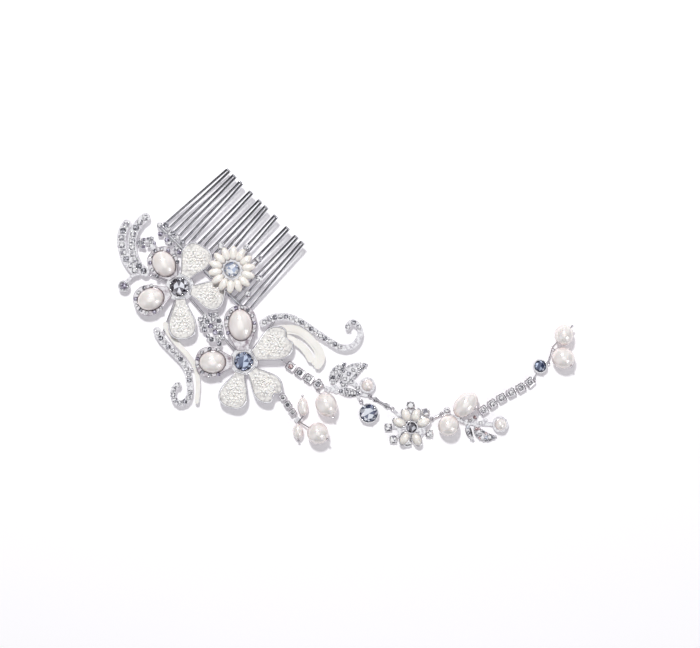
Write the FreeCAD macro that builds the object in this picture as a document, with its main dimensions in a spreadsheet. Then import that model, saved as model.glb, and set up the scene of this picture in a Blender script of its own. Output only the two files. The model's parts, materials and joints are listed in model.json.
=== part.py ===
import FreeCAD, Part
import Sketcher
import math
import os

# Bridal hair comb: a wire comb carrying two bead-and-pearl flowers, a small
# pearl flower, scrolls and sprigs, with a jointed trail of cup chain and pearls.
# +X runs along the trail, +Y towards the tooth tips, +Z up from the table.

V = FreeCAD.Vector
UP = V(0, 0, 1)

# Driving sizes, in millimetres and degrees.
SIZES = {
    # wire comb
    "tooth_count": 10,
    "tooth_pitch": 5.5,
    "tooth_length": 38.3,
    "tooth_wire": 1.15,
    "tooth_opening": 2.7,
    "tooth_tip_opening": 1.4,
    "tooth_rise": 6.2,
    "spine_wire": 1.6,
    "spine_overhang": 1.4,
    "wrap_wall": 0.4,
    "wrap_length": 4.2,
    # flower hubs and frame wires
    "back_plate_radius": 6.2,
    "back_plate_thickness": 0.8,
    "hub_stem_radius": 2.2,
    "hub_stem_height": 1.3,
    "petal_plate_thickness": 0.8,
    "frame_wire": 1.1,
    # bead-filled petals
    "petal_root": 4.7,
    "petal_length": 21.0,
    "petal_width": 13.0,
    "petal_floor": 0.6,
    "petal_wall": 0.7,
    "petal_depth": 2.3,
    "bead_crown": 0.7,
    # pearl petals
    "pearl_floor": 0.6,
    "pearl_rim": 1.7,
    "pearl_rim_depth": 1.7,
    "pearl_length": 5.9,
    "pearl_width": 4.8,
    "pearl_height": 3.5,
    "pearl_flat": 40,
    # stones
    "centre_stone_radius": 3.9,
    "centre_stone_height": 3.0,
    "centre_setting_wall": 0.4,
    "centre_setting_height": 2.4,
    "centre_seat_depth": 1.3,
    "pave_radius": 0.95,
    "pave_height": 0.8,
    "pave_pitch": 2.3,
    "crystal_radius": 1.5,
    "crystal_height": 1.3,
    "chaton_radius": 2.1,
    "chaton_height": 1.6,
    # small flower over the teeth
    "small_flower_height": 5.3,
    "small_plate_radius": 7.6,
    "small_plate_thickness": 0.7,
    "small_stone_radius": 3.1,
    "small_pearl_count": 14,
    "small_pearl_ring": 7.2,
    "small_pearl_length": 3.1,
    "small_pearl_width": 1.3,
    # scrolls, leaf and sprig bands
    "band_thickness": 1.2,
    "scroll_width": 3.3,
    "scroll_curl_width": 2.3,
    "leaf_rib_width": 3.0,
    "strip_width": 2.4,
    "sprig_bar_width": 3.9,
    "branch_width": 2.4,
    # cup chains
    "cup_width": 2.8,
    "cup_height": 2.2,
    "cup_wall": 0.3,
    "cup_seat_depth": 0.7,
    "cup_stone_crown": 0.6,
    "cup_pitch": 4.7,
    "spray_cup_width": 2.3,
    "spray_cup_pitch": 3.9,
    "socket_inset": 0.9,
    "ball_radius": 0.48,
    "ball_height": 0.78,
    "chain_wire_radius": 0.27,
    "ball_clearance": 0.06,
    "flex_angle": 21,
    # eyes, rings and pins
    "eye_radius": 0.72,
    "eye_wire_radius": 0.22,
    "floor_gap": 0.05,
    "pin_radius": 0.3,
    "pin_clearance": 0.06,
    "pin_head_radius": 0.55,
    # trail sprigs and daisy
    "sprig_thickness": 1.0,
    "sprig_stem_width": 1.7,
    "sprig_leaf_width": 2.6,
    "bezel_pearl_radius": 2.6,
    "bezel_wall": 0.8,
    "bezel_height": 2.2,
    "bezel_floor": 0.6,
    "drop_stone_radius": 3.9,
    "drop_stone_height": 3.0,
    "daisy_plate_radius": 6.2,
    "daisy_pearl_ring": 5.6,
    "daisy_pearl_length": 2.8,
    "daisy_pearl_width": 1.8,
    "daisy_stone_radius": 2.3,
    "tail_stone_radius": 2.6,
    "tail_shank": 1.8,
    "link_length": 11.0,
    "short_link_length": 4.8,
    "potato_pearl": 4.8,
    "oval_pearl_length": 6.5,
    "rice_pearl": 2.4,
    # gaps between pieces that only rest on each other
    "seat_gap": 0.03,
}

doc = FreeCAD.newDocument("HairComb")
sheet = doc.addObject("Spreadsheet::Sheet", "Sizes")
for row, (alias, amount) in enumerate(SIZES.items(), start=1):
    sheet.set("A%d" % row, alias)
    sheet.set("B%d" % row, str(amount))
    sheet.setAlias("B%d" % row, alias)
doc.recompute()

NODES = []


def size(formula):
    """Value of a formula over the sheet's aliases, each written as S.alias."""
    return float(sheet.evalExpression(formula.replace("S.", "Sizes.")))


def bind(obj, **formulas):
    """Bind properties of an object to formulas over the sheet."""
    for name, formula in formulas.items():
        obj.setExpression(name, formula.replace("S.", "Sizes."))
    return obj


def direction(angle):
    """Unit vector in the table plane at an angle from +X."""
    return V(math.cos(math.radians(angle)), math.sin(math.radians(angle)), 0)


def polar(centre, angle, distance, height=0.0):
    """Point at a distance and angle from a centre, at a height."""
    step = direction(angle) * distance
    return V(centre[0] + step.x, centre[1] + step.y, height)


def turned(point, angle=0.0):
    """Placement at a point, turned about the upright axis."""
    return FreeCAD.Placement(V(*point), FreeCAD.Rotation(UP, angle))


def rod(name, radius, start, end):
    """Round wire between two points."""
    obj = bind(doc.addObject("Part::Cylinder", name), Radius=radius)
    span = end.sub(start)
    obj.Height = span.Length
    obj.Placement = FreeCAD.Placement(start, FreeCAD.Rotation(UP, span))
    return obj


def disc(name, radius, height, base):
    """Upright cylinder standing on a base point."""
    obj = bind(doc.addObject("Part::Cylinder", name), Radius=radius, Height=height)
    obj.Placement = turned(base)
    return obj


def ball(name, radius, centre):
    """Sphere about a centre."""
    obj = bind(doc.addObject("Part::Sphere", name), Radius=radius)
    obj.Placement = turned(centre)
    return obj


def bend_ball(name, radius, before, corner, after):
    """Ball that rounds a bend in a wire, with the seam of its surface outside the bend."""
    inward = (corner - before).normalize()
    onward = (after - corner).normalize()
    obj = bind(doc.addObject("Part::Sphere", name), Radius="1.03 * (%s)" % radius)
    obj.Placement = FreeCAD.Placement(corner, FreeCAD.Rotation(
        inward - onward, V(0, 0, 0), inward.cross(onward), "ZXY"))
    return obj


def loop(name, major, minor, centre, axis):
    """Closed wire ring about an axis."""
    obj = bind(doc.addObject("Part::Torus", name), Radius1=major, Radius2=minor)
    obj.Placement = FreeCAD.Placement(centre, FreeCAD.Rotation(UP, axis))
    return obj


def bent_wire(name, radius, points):
    """One round wire through several points, with a ball at each bend."""
    pieces = [rod("%s_run_%d" % (name, i), radius, points[i], points[i + 1])
              for i in range(len(points) - 1)]
    pieces += [bend_ball("%s_bend_%d" % (name, i), radius, *points[i - 1:i + 2])
               for i in range(1, len(points) - 1)]
    return fuse(name, pieces)


def facet_stone(name, radius, height, base):
    """Low truncated cone that stands for a set crystal."""
    obj = bind(doc.addObject("Part::Cone", name),
               Radius1=radius, Radius2="0.62 * (%s)" % radius, Height=height)
    obj.Placement = turned(base)
    return obj


def pearl(name, semi_length, semi_width, semi_height, centre, angle):
    """Pearl as an ellipsoid whose long axis lies at an angle from +X."""
    obj = bind(doc.addObject("Part::Ellipsoid", name),
               Radius1=semi_height, Radius2=semi_width, Radius3=semi_length)
    obj.Placement = turned(centre, angle + 90)
    return obj


def fuse(name, pieces):
    """One solid made of several overlapping ones."""
    obj = doc.addObject("Part::MultiFuse", name)
    obj.Shapes = pieces
    return obj


def cut(name, base, tool):
    """A solid less a tool."""
    obj = doc.addObject("Part::Cut", name)
    obj.Base = base
    obj.Tool = tool
    return obj


def node(label, pieces):
    """Register a sub-part: one solid, or a group of separate solids."""
    if len(pieces) == 1:
        obj = pieces[0]
    else:
        obj = doc.addObject("Part::Compound", label)
        obj.Links = pieces
    obj.Label = label
    NODES.append(obj)
    return obj


def curve_through(points):
    """Smooth flat curve through hand-placed points."""
    curve = Part.BSplineCurve()
    curve.interpolate([V(x, y, 0) for x, y in points])
    return curve


def band_face(points, start_width, end_width):
    """Flat face of a band with round ends that follows a curve and tapers."""
    curve = curve_through(points)
    stations = 5 * (len(points) - 1)
    left = []
    right = []
    for i in range(stations + 1):
        share = i / stations
        parameter = curve.FirstParameter + share * (curve.LastParameter - curve.FirstParameter)
        along = curve.tangent(parameter)[0]
        half = (start_width + share * (end_width - start_width)) / 2
        side = V(-along.y, along.x, 0) * half
        left.append(curve.value(parameter) + side)
        right.append(curve.value(parameter) - side)
    left_edge = Part.BSplineCurve()
    left_edge.interpolate(left)
    right_edge = Part.BSplineCurve()
    right_edge.interpolate(right)
    first_along = curve.tangent(curve.FirstParameter)[0]
    last_along = curve.tangent(curve.LastParameter)[0]
    first_tip = curve.value(curve.FirstParameter) - first_along * (start_width / 2)
    last_tip = curve.value(curve.LastParameter) + last_along * (end_width / 2)
    edges = [
        left_edge.toShape(),
        Part.Arc(left[-1], last_tip, right[-1]).toShape(),
        right_edge.toShape(),
        Part.Arc(right[0], first_tip, left[0]).toShape(),
    ]
    return Part.Face(Part.Wire(Part.__sortEdges__(edges)))


def slab(name, face, low, thickness):
    """Extrude a flat outline from a low level by a thickness."""
    outline = doc.addObject("Part::Feature", name + "_outline")
    outline.Shape = face
    obj = doc.addObject("Part::Extrusion", name)
    obj.Base = outline
    obj.DirMode = "Custom"
    obj.Dir = UP
    obj.Solid = True
    bind(obj, LengthFwd=thickness)
    if low != "0":
        obj.setExpression("Placement.Base.z", low.replace("S.", "Sizes."))
    return obj


def band(name, points, start_width, end_width, low, thickness):
    """Solid flat band along a curve."""
    face = band_face(points, size(start_width), size(end_width))
    return slab(name, face, low, thickness)


def stones_along(name, points, top, radius, height, pitch, skip_start=0.0, skip_end=0.0):
    """Row of set crystals at an even pitch along a curve."""
    curve = curve_through(points)
    room = curve.length() - skip_start - skip_end
    count = max(1, int(room / size(pitch)) + 1)
    gap = room / max(1, count - 1)
    stones = []
    for i in range(count):
        distance = min(skip_start + i * gap, curve.length() * 0.999)
        spot = curve.value(curve.parameterAtDistance(distance, curve.FirstParameter))
        base = V(spot.x, spot.y, top)
        stones.append(facet_stone("%s_%d" % (name, i), radius, height, base))
    return stones


def turned_body(name, profile, centre):
    """Body of revolution from (radius, height) formulas, about an upright axis."""
    body = doc.addObject("PartDesign::Body", name)
    sketch = body.newObject("Sketcher::SketchObject", name + "_profile")
    upright = [f for f in body.Origin.OriginFeatures if f.Role == "XZ_Plane"][0]
    sketch.AttachmentSupport = [(upright, "")]
    sketch.MapMode = "FlatFace"
    corners = [V(size(r), size(z), 0) for r, z in profile]
    for i, corner in enumerate(corners):
        sketch.addGeometry(Part.LineSegment(corner, corners[(i + 1) % len(corners)]))
    for i in range(len(corners)):
        sketch.addConstraint(
            Sketcher.Constraint("Coincident", i, 2, (i + 1) % len(corners), 1))
    for i, (radius, height) in enumerate(profile):
        if radius == "0":
            sketch.addConstraint(Sketcher.Constraint("PointOnObject", i, 1, -2))
        else:
            index = sketch.addConstraint(
                Sketcher.Constraint("DistanceX", -1, 1, i, 1, size(radius)))
            bind(sketch, **{"Constraints[%d]" % index: radius})
        if height == "0":
            sketch.addConstraint(Sketcher.Constraint("PointOnObject", i, 1, -1))
        else:
            index = sketch.addConstraint(
                Sketcher.Constraint("DistanceY", -1, 1, i, 1, size(height)))
            bind(sketch, **{"Constraints[%d]" % index: height})
    turn = body.newObject("PartDesign::Revolution", name + "_turned")
    turn.Profile = sketch
    turn.ReferenceAxis = (sketch, ["V_Axis"])
    turn.Angle = 360
    sketch.Visibility = False
    body.Placement = turned(centre)
    return body


# ---------------------------------------------------------------- wire comb

COMB_CENTRE = V(-61.3, 16.3, 0)
COMB_TURN = -44.4
# Sideways lean of each hairpin tooth: the comb has been bent a little in use.
TOOTH_LEANS = (4.0, 1.2, -1.1, -0.3, -0.5, -3.3, -3.0, -0.6, -0.9, -3.7)

WRAP_RADIUS = "(S.spine_wire / 2 + S.seat_gap + S.wrap_wall)"


def comb_point(along, across, height):
    """Point given along the spine and across it towards the tips."""
    step = direction(COMB_TURN) * along + direction(COMB_TURN + 90) * across
    return V(COMB_CENTRE.x + step.x, COMB_CENTRE.y + step.y, height)


def tooth_corners(along, lean):
    """Corners of a hairpin: out along one leg, across the tip and back."""
    half_root = size("S.tooth_opening") / 2
    half_tip = size("S.tooth_tip_opening") / 2
    level = size(WRAP_RADIUS)
    start = size(WRAP_RADIUS + " + S.tooth_wire / 2 * tan(S.tooth_rise * 1deg) + S.seat_gap")
    reach = size("S.tooth_length - S.tooth_wire / 2")
    corners = []
    for across, side in ((start, -half_root), (reach, -half_tip),
                         (reach, half_tip), (start, half_root)):
        sway = math.tan(math.radians(lean)) * across
        lift = math.tan(math.radians(size("S.tooth_rise"))) * across
        corners.append(comb_point(along + sway + side, across, level + lift))
    return corners


def make_comb():
    """Spine wire, wraps that bind each tooth to it, and the hairpin teeth."""
    count = int(size("S.tooth_count"))
    pitch = size("S.tooth_pitch")
    half = pitch * (count - 1) / 2 + size("S.tooth_opening / 2 + S.spine_overhang")
    level = size(WRAP_RADIUS)
    ends = [comb_point(-half, 0, level), comb_point(half, 0, level)]
    spine = fuse("spine_solid", [rod("spine_bar", "S.spine_wire / 2", ends[0], ends[1]),
                                 ball("spine_end_a", "S.spine_wire / 2", ends[0]),
                                 ball("spine_end_b", "S.spine_wire / 2", ends[1])])
    node("comb_spine", [spine])
    wraps = []
    teeth = []
    for i in range(count):
        along = (i - (count - 1) / 2) * pitch
        reach = size("S.wrap_length") / 2
        a = comb_point(along - reach, 0, level)
        b = comb_point(along + reach, 0, level)
        tube = rod("wrap_tube_%d" % i, WRAP_RADIUS, a, b)
        bore = rod("wrap_bore_%d" % i, "S.spine_wire / 2 + S.seat_gap", a, b)
        wraps.append(cut("wrap_%d" % i, tube, bore))
        lean = TOOTH_LEANS[i % len(TOOTH_LEANS)]
        tooth = bent_wire("tooth_%d" % i, "S.tooth_wire / 2", tooth_corners(along, lean))
        teeth.append(tooth)
    node("tooth_wraps", wraps)
    node("comb_teeth", teeth)


# ------------------------------------------------------------- large flowers

UPPER = (-71.6, 8.8)
LOWER = (-44.1, -23.2)

STEM_LOW = "S.back_plate_thickness"
PLATE_LOW = STEM_LOW + " + S.hub_stem_height"
PETAL_LOW = PLATE_LOW + " + S.petal_plate_thickness"
WIRE_LEVEL = STEM_LOW + " + S.hub_stem_height / 2"

# Bead petals: flower, bearing, length and width against the normal petal, notch.
BEAD_PETALS = {
    "a1": (UPPER, 61, 0.97, 1.03, 0.0),
    "a2": (UPPER, -14, 0.95, 0.98, 0.0),
    "a3": (UPPER, -86, 1.08, 0.93, 0.0),
    "b3": (LOWER, 29, 1.07, 1.14, 1.2),
    "b4": (LOWER, -48, 0.99, 1.02, 1.2),
    "b5": (LOWER, -107, 0.99, 0.96, 0.0),
}
# Pearl petals: flower, bearing, distance of the pearl, its length and width factors.
PEARL_PETALS = {
    "a4": (UPPER, 203, 13.4, 1.0, 1.0),
    "a5": (UPPER, 124, 11.9, 1.0, 1.0),
    "b1": (LOWER, 95, 15.7, 1.16, 1.08),
    "b2": (LOWER, 181, 13.4, 0.98, 1.0),
}


def petal_face(flower, bearing, root, tip, width, belly, notch):
    """Petal outline: narrow root, broad belly, round or notched tip."""
    span = tip - root
    half = width / 2
    shoulder = belly + (1 - belly) * 0.72
    side = [(root, 0.34 * half), (root + span * belly * 0.5, 0.70 * half),
            (root + span * belly, half), (root + span * shoulder, 0.80 * half)]
    crest = [(tip, 0.42 * half)] if notch else []
    middle = [(tip - notch, 0.0)]
    back = [(x, -y) for x, y in reversed(side + crest)]
    place = turned((flower[0], flower[1], 0), bearing)
    ring = [place.multVec(V(x, y, 0)) for x, y in side + crest + middle + back]
    edge = Part.BSplineCurve()
    edge.interpolate(ring)
    root_edge = Part.LineSegment(ring[-1], ring[0])
    return Part.Face(Part.Wire([edge.toShape(), root_edge.toShape()]))


SMALL = (-49.0, 16.1)
# Loose crystals round the small flower: bearing and distance.
SMALL_CRYSTALS = ((115, 11.1), (57, 11.4), (22, 12.2), (-18, 12.0), (-57, 12.3))
# Place along the spine of the post that carries the small flower.
SMALL_FOOT = 4.3

SMALL_TOP = "S.small_flower_height + S.small_plate_thickness"


def make_hubs():
    """Spool-shaped hubs: back plate, stem and the plate that carries the petals."""
    profile = [("0", "0"), ("S.back_plate_radius", "0"),
               ("S.back_plate_radius", STEM_LOW), ("S.hub_stem_radius", STEM_LOW),
               ("S.hub_stem_radius", PLATE_LOW), ("S.back_plate_radius", PLATE_LOW),
               ("S.back_plate_radius", PETAL_LOW), ("0", PETAL_LOW)]
    hubs = [turned_body("upper_hub", profile, (UPPER[0], UPPER[1], 0)),
            turned_body("lower_hub", profile, (LOWER[0], LOWER[1], 0))]
    node("flower_hubs", hubs)


def make_bead_petals():
    """Dished petals with a raised wall, and the packed bead layer inside each."""
    dishes = []
    fills = []
    root = size("S.petal_root")
    wall = size("S.petal_wall")
    slack = size("S.petal_wall + S.seat_gap")
    for name, (flower, bearing, stretch, broad, notch) in BEAD_PETALS.items():
        tip = size("S.petal_length") * stretch
        width = size("S.petal_width") * broad
        outer = petal_face(flower, bearing, root, tip, width, 0.66, notch)
        inner = petal_face(flower, bearing, root + wall, tip - wall, width - 2 * wall,
                           0.66, notch)
        bed = petal_face(flower, bearing, root + slack, tip - slack, width - 2 * slack,
                         0.66, notch)
        floor_top = PETAL_LOW + " + S.petal_floor"
        block = slab("dish_%s" % name, outer, PETAL_LOW, "S.petal_depth")
        hollow = slab("hollow_%s" % name, inner, floor_top, "S.petal_depth")
        dishes.append(cut("petal_%s" % name, block, hollow))
        fills.append(slab("beads_%s" % name, bed, floor_top,
                          "S.petal_depth - S.petal_floor + S.bead_crown"))
    node("bead_petals", dishes)
    node("bead_fills", fills)


def make_pearl_petals():
    """Oval pearl cups with a stone-set rim, each holding a large button pearl."""
    cups = []
    pearls = []
    stones = []
    rim = size("S.pearl_rim")
    for name, (flower, bearing, distance, longer, broader) in PEARL_PETALS.items():
        semi_x = size("S.pearl_length") * longer
        semi_y = size("S.pearl_width") * broader
        root = size("S.petal_root")
        tip = distance + semi_x + rim
        outer = petal_face(flower, bearing, root, tip, 2 * (semi_y + rim),
                           (distance - root) / (tip - root), 0.0)
        centre = polar(flower, bearing, distance)
        gap = size("S.seat_gap")
        oval = Part.Ellipse(V(0, 0, 0), semi_x + gap, semi_y + gap).toShape()
        recess = Part.Face(Part.Wire([oval]))
        recess.Placement = turned(centre, bearing)
        block = slab("oval_%s" % name, outer, PETAL_LOW, "S.pearl_rim_depth")
        hollow = slab("oval_seat_%s" % name, recess, PETAL_LOW + " + S.pearl_floor",
                      "S.pearl_rim_depth")
        cups.append(cut("pearl_petal_%s" % name, block, hollow))
        drop = math.sin(math.radians(size("S.pearl_flat")))
        level = size(PETAL_LOW + " + S.pearl_floor + S.seat_gap + S.pearl_height * %f" % drop)
        button = pearl("button_%s" % name, "S.pearl_length * %s" % longer,
                       "S.pearl_width * %s" % broader, "S.pearl_height",
                       V(centre.x, centre.y, level), bearing)
        bind(button, Angle1="-S.pearl_flat")
        pearls.append(button)
        count = int(math.pi * (semi_x + semi_y) * 0.62 / size("S.pave_pitch"))
        top = size(PETAL_LOW + " + S.pearl_rim_depth")
        for i in range(count):
            angle = math.radians(-112 + 224 * i / (count - 1))
            spot = V((semi_x + rim / 2) * math.cos(angle), (semi_y + rim / 2) * math.sin(angle), 0)
            place = turned(centre, bearing).multVec(spot)
            stones.append(facet_stone("rim_stone_%s_%d" % (name, i), "S.pave_radius * 0.9",
                                      "S.pave_height", V(place.x, place.y, top)))
    node("pearl_petals", cups)
    node("petal_pearls", pearls)
    node("rim_stones", stones)


def centre_stone(name, radius, height, base):
    """Large round crystal: pointed pavilion below, flat table above."""
    lower = bind(doc.addObject("Part::Cone", name + "_pavilion"),
                 Radius1="0.2 * %s" % radius, Radius2=radius, Height="0.45 * %s" % height)
    lower.Placement = turned(base)
    middle = V(base.x, base.y, base.z + size("0.45 * %s" % height))
    upper = bind(doc.addObject("Part::Cone", name + "_crown"),
                 Radius1=radius, Radius2="0.6 * %s" % radius, Height="0.55 * %s" % height)
    upper.Placement = turned(middle)
    return fuse(name, [lower, upper])


def setting(name, radius, height, seat, base):
    """Round setting: a cup with a straight seat for a crystal."""
    outer = disc(name + "_cup", "%s + S.seat_gap + S.centre_setting_wall" % radius, height, base)
    floor_level = V(base.x, base.y, base.z + size("%s - %s" % (height, seat)))
    inner = disc(name + "_seat", "%s + S.seat_gap" % radius, height, floor_level)
    return cut(name, outer, inner)


def make_centres():
    """Settings and crystals in the middle of the three flowers."""
    settings = []
    stones = []
    for name, flower in (("upper", UPPER), ("lower", LOWER)):
        base = V(flower[0], flower[1], size(PETAL_LOW))
        settings.append(setting("centre_setting_" + name, "S.centre_stone_radius",
                                "S.centre_setting_height", "S.centre_seat_depth", base))
        seat = V(base.x, base.y, size(PETAL_LOW + " + S.centre_setting_height"
                                      " - S.centre_seat_depth + S.seat_gap"))
        stones.append(centre_stone("centre_stone_" + name, "S.centre_stone_radius",
                                   "S.centre_stone_height", seat))
    top = V(SMALL[0], SMALL[1], size(SMALL_TOP))
    settings.append(setting("centre_setting_small", "S.small_stone_radius",
                            "S.centre_setting_height", "S.centre_seat_depth", top))
    seat = V(SMALL[0], SMALL[1], size(SMALL_TOP + " + S.centre_setting_height"
                                      " - S.centre_seat_depth + S.seat_gap"))
    stones.append(centre_stone("centre_stone_small", "S.small_stone_radius",
                               "S.centre_stone_height", seat))
    node("centre_settings", settings)
    node("centre_stones", stones)


def make_small_flower():
    """Plate on an arm from the spine, a ring of rice pearls and a centre crystal."""
    base = V(SMALL[0], SMALL[1], size("S.small_flower_height"))
    plate = disc("small_plate", "S.small_plate_radius", "S.small_plate_thickness", base)
    foot_level = size(WRAP_RADIUS + " * 2 + S.seat_gap")
    foot = comb_point(SMALL_FOOT, 0, foot_level)
    level = size("S.small_flower_height + S.small_plate_thickness / 2")
    elbow = V(foot.x, foot.y, level)
    arm = [plate, rod("small_arm_post", "S.frame_wire / 2", foot, elbow),
           ball("small_arm_elbow", "S.small_plate_thickness / 2", elbow),
           rod("small_arm", "S.small_plate_thickness / 2", elbow, V(SMALL[0], SMALL[1], level))]
    reach = size("S.small_plate_radius - 1")
    stones = []
    for i, (bearing, distance) in enumerate(SMALL_CRYSTALS):
        end = polar(SMALL, bearing, distance, level)
        start = polar(SMALL, bearing, reach, level)
        arm.append(rod("small_spoke_%d" % i, "S.small_plate_thickness / 2", start, end))
        pad = V(end.x, end.y, size("S.small_flower_height"))
        arm.append(disc("small_pad_%d" % i, "S.crystal_radius * 0.8",
                        "S.small_plate_thickness", pad))
        top = V(end.x, end.y, size(SMALL_TOP))
        stones.append(facet_stone("small_crystal_%d" % i, "S.crystal_radius",
                                  "S.crystal_height", top))
    node("small_flower_frame", [fuse("small_frame_solid", arm)])
    node("small_flower_crystals", stones)
    pearls = []
    count = int(size("S.small_pearl_count"))
    height = size(SMALL_TOP + " + S.seat_gap + S.small_pearl_width")
    for i in range(count):
        bearing = 360 * i / count + 8
        centre = polar(SMALL, bearing, size("S.small_pearl_ring"), height)
        pearls.append(pearl("small_pearl_%d" % i, "S.small_pearl_length",
                            "S.small_pearl_width", "S.small_pearl_width", centre, bearing))
    node("small_flower_pearls", pearls)


# --------------------------------------------------- scrolls, leaf and sprigs

BAND_LOW = WIRE_LEVEL + " + S.frame_wire / 2 + S.seat_gap"
STRIP_THICKNESS = "(" + PETAL_LOW + ") - (" + BAND_LOW + ") - S.seat_gap"

RIGHT_SCROLL = ((-36.0, -6.9), (-32.0, -4.6), (-26.4, -4.0), (-20.0, -6.1), (-13.5, -10.4),
                (-7.1, -14.7), (-1.9, -17.2), (2.4, -16.6), (5.3, -13.2), (5.7, -9.3),
                (3.0, -6.3), (0.4, -8.4))
LEFT_SCROLL = ((-81.5, -10.1), (-78.5, -14.9), (-75.0, -18.5), (-71.6, -21.9), (-68.8, -26.2),
               (-67.6, -31.2), (-67.3, -36.0), (-68.6, -39.8), (-71.8, -41.1), (-74.4, -38.6),
               (-74.2, -35.0), (-72.3, -33.1))
CREAM_STRIP = ((-78.0, -7.3), (-75.0, -12.9), (-71.4, -17.2), (-67.6, -21.4), (-64.9, -26.4),
               (-63.9, -32.4), (-64.4, -40.4))
CREAM_LEAF_OUTER = ((-31.0, -10.5), (-26.0, -8.9), (-20.3, -9.8), (-15.7, -13.2),
                    (-12.3, -17.2), (-10.7, -21.2), (-12.4, -25.0))
CREAM_LEAF_INNER = ((-28.0, -12.6), (-22.8, -14.2), (-18.2, -17.8), (-15.4, -22.2))
LEFT_OUTER_BAR = ((-94.4, 35.9), (-96.7, 30.0), (-96.2, 24.8), (-94.2, 19.8), (-90.4, 15.4))
LEFT_INNER_BAR = ((-86.4, 38.7), (-90.0, 35.0), (-92.0, 30.0), (-92.0, 24.6), (-90.6, 20.0),
                  (-86.6, 15.2))
LEFT_TWIG = ((-90.6, 14.4), (-93.2, 12.4), (-95.2, 10.0))
LEFT_LOOP = ((-83.2, 26.0), (-85.6, 28.9), (-88.0, 27.6))
FILLER_BRANCH = ((-62.5, -7.9), (-58.9, -5.6), (-55.4, -5.2), (-54.2, -9.0), (-54.6, -12.4),
                 (-58.6, -13.6))
LEFT_CHATON = (-95.7, 9.2)

# Frame wires: the hub each starts from, how far off its stem, and its far end.
FRAME_WIRES = (
    (UPPER, 0.0, (-88.6, 15.6)),
    (UPPER, 0.0, (-79.6, -12.6)),
    (LOWER, 0.0, (-68.4, -27.0)),
    (LOWER, 0.0, (-30.6, -5.2)),
    (LOWER, 1.6, (-26.4, -11.6)),
    (UPPER, 0.0, (-65.2, 15.4)),
    (LOWER, 0.0, (-45.4, -1.6)),
)


def make_frame_wires():
    """Round wires soldered between the hubs, the spine and the bands."""
    level = size(WIRE_LEVEL)
    stem = size("S.hub_stem_radius + S.seat_gap")
    between = V(LOWER[0] - UPPER[0], LOWER[1] - UPPER[1], 0).normalize() * stem
    start = V(UPPER[0], UPPER[1], level) + between
    wires = [rod("hub_wire", "S.frame_wire / 2", start, V(LOWER[0], LOWER[1], level) - between)]
    for i, (hub, clear, end) in enumerate(FRAME_WIRES):
        along = V(end[0] - hub[0], end[1] - hub[1], 0).normalize()
        start = V(hub[0], hub[1], level) + along * (stem + clear)
        wires.append(rod("frame_wire_%d" % i, "S.frame_wire / 2", start,
                         V(end[0], end[1], level)))
    node("frame_wires", wires)


def make_bands():
    """Scrolls, cream leaf and strip, left sprig and filler branch, with their stones."""
    top = size(BAND_LOW + " + S.band_thickness")
    right = band("right_scroll_solid", RIGHT_SCROLL, "S.scroll_width", "S.scroll_curl_width",
                 BAND_LOW, "S.band_thickness")
    left = band("left_scroll_solid", LEFT_SCROLL, "S.scroll_width", "S.scroll_curl_width",
                BAND_LOW, "S.band_thickness")
    node("right_scroll", [right])
    node("left_scroll", [left])
    stones = stones_along("right_scroll_stone", RIGHT_SCROLL[:7], top, "S.pave_radius",
                          "S.pave_height", "S.pave_pitch", 1.0, 1.0)
    stones += stones_along("right_curl_stone", RIGHT_SCROLL[9:], top, "S.pave_radius",
                           "S.pave_height", "S.pave_pitch", 1.0, 0.3)
    stones += stones_along("left_scroll_stone", LEFT_SCROLL[:6], top, "S.pave_radius",
                           "S.pave_height", "S.pave_pitch", 1.0, 0.0)
    stones += stones_along("left_curl_stone", LEFT_SCROLL[6:], top, "S.pave_radius",
                           "S.pave_height", "S.pave_pitch", 0.5, 0.5)
    node("scroll_stones", stones)
    node("cream_strip", [band("cream_strip_solid", CREAM_STRIP, "S.strip_width",
                              "S.strip_width * 0.8", BAND_LOW, STRIP_THICKNESS)])
    leaf = [band("leaf_outer", CREAM_LEAF_OUTER, "S.leaf_rib_width", "S.leaf_rib_width",
                 BAND_LOW, STRIP_THICKNESS),
            band("leaf_inner", CREAM_LEAF_INNER, "S.leaf_rib_width", "S.leaf_rib_width",
                 BAND_LOW, STRIP_THICKNESS)]
    node("cream_leaf", leaf)


def make_left_sprig():
    """Two stone-set bars, a twig with a round chaton and a small loop."""
    top = size(BAND_LOW + " + S.band_thickness")
    bars = [band("outer_bar", LEFT_OUTER_BAR, "S.sprig_bar_width", "S.sprig_bar_width",
                 BAND_LOW, "S.band_thickness"),
            band("inner_bar", LEFT_INNER_BAR, "S.sprig_bar_width", "S.sprig_bar_width",
                 BAND_LOW, "S.band_thickness")]
    stones = stones_along("outer_bar_stone", LEFT_OUTER_BAR, top, "S.pave_radius * 1.3",
                          "S.pave_height", "S.pave_pitch * 1.25", 0.3, 0.8)
    stones += stones_along("inner_bar_stone", LEFT_INNER_BAR, top, "S.pave_radius * 1.3",
                           "S.pave_height", "S.pave_pitch * 1.25", 0.3, 0.8)
    twig, chaton = make_chaton()
    node("left_sprig", [fuse("left_sprig_metal", bars + [twig])])
    node("left_sprig_stones", stones + [chaton])


def make_chaton():
    """Round chaton in a bezel at the end of the left sprig, with its twig."""
    pieces = [band("left_twig", LEFT_TWIG, "S.branch_width * 0.6", "S.branch_width * 0.6",
                   BAND_LOW, "S.band_thickness"),
              disc("left_bezel", "S.chaton_radius + S.seat_gap + S.centre_setting_wall",
                   "S.band_thickness", V(LEFT_CHATON[0], LEFT_CHATON[1], size(BAND_LOW)))]
    top = size(BAND_LOW + " + S.band_thickness")
    chaton = centre_stone("left_chaton", "S.chaton_radius", "S.chaton_height",
                          V(LEFT_CHATON[0], LEFT_CHATON[1], top))
    return fuse("left_twig_metal", pieces), chaton


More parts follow.
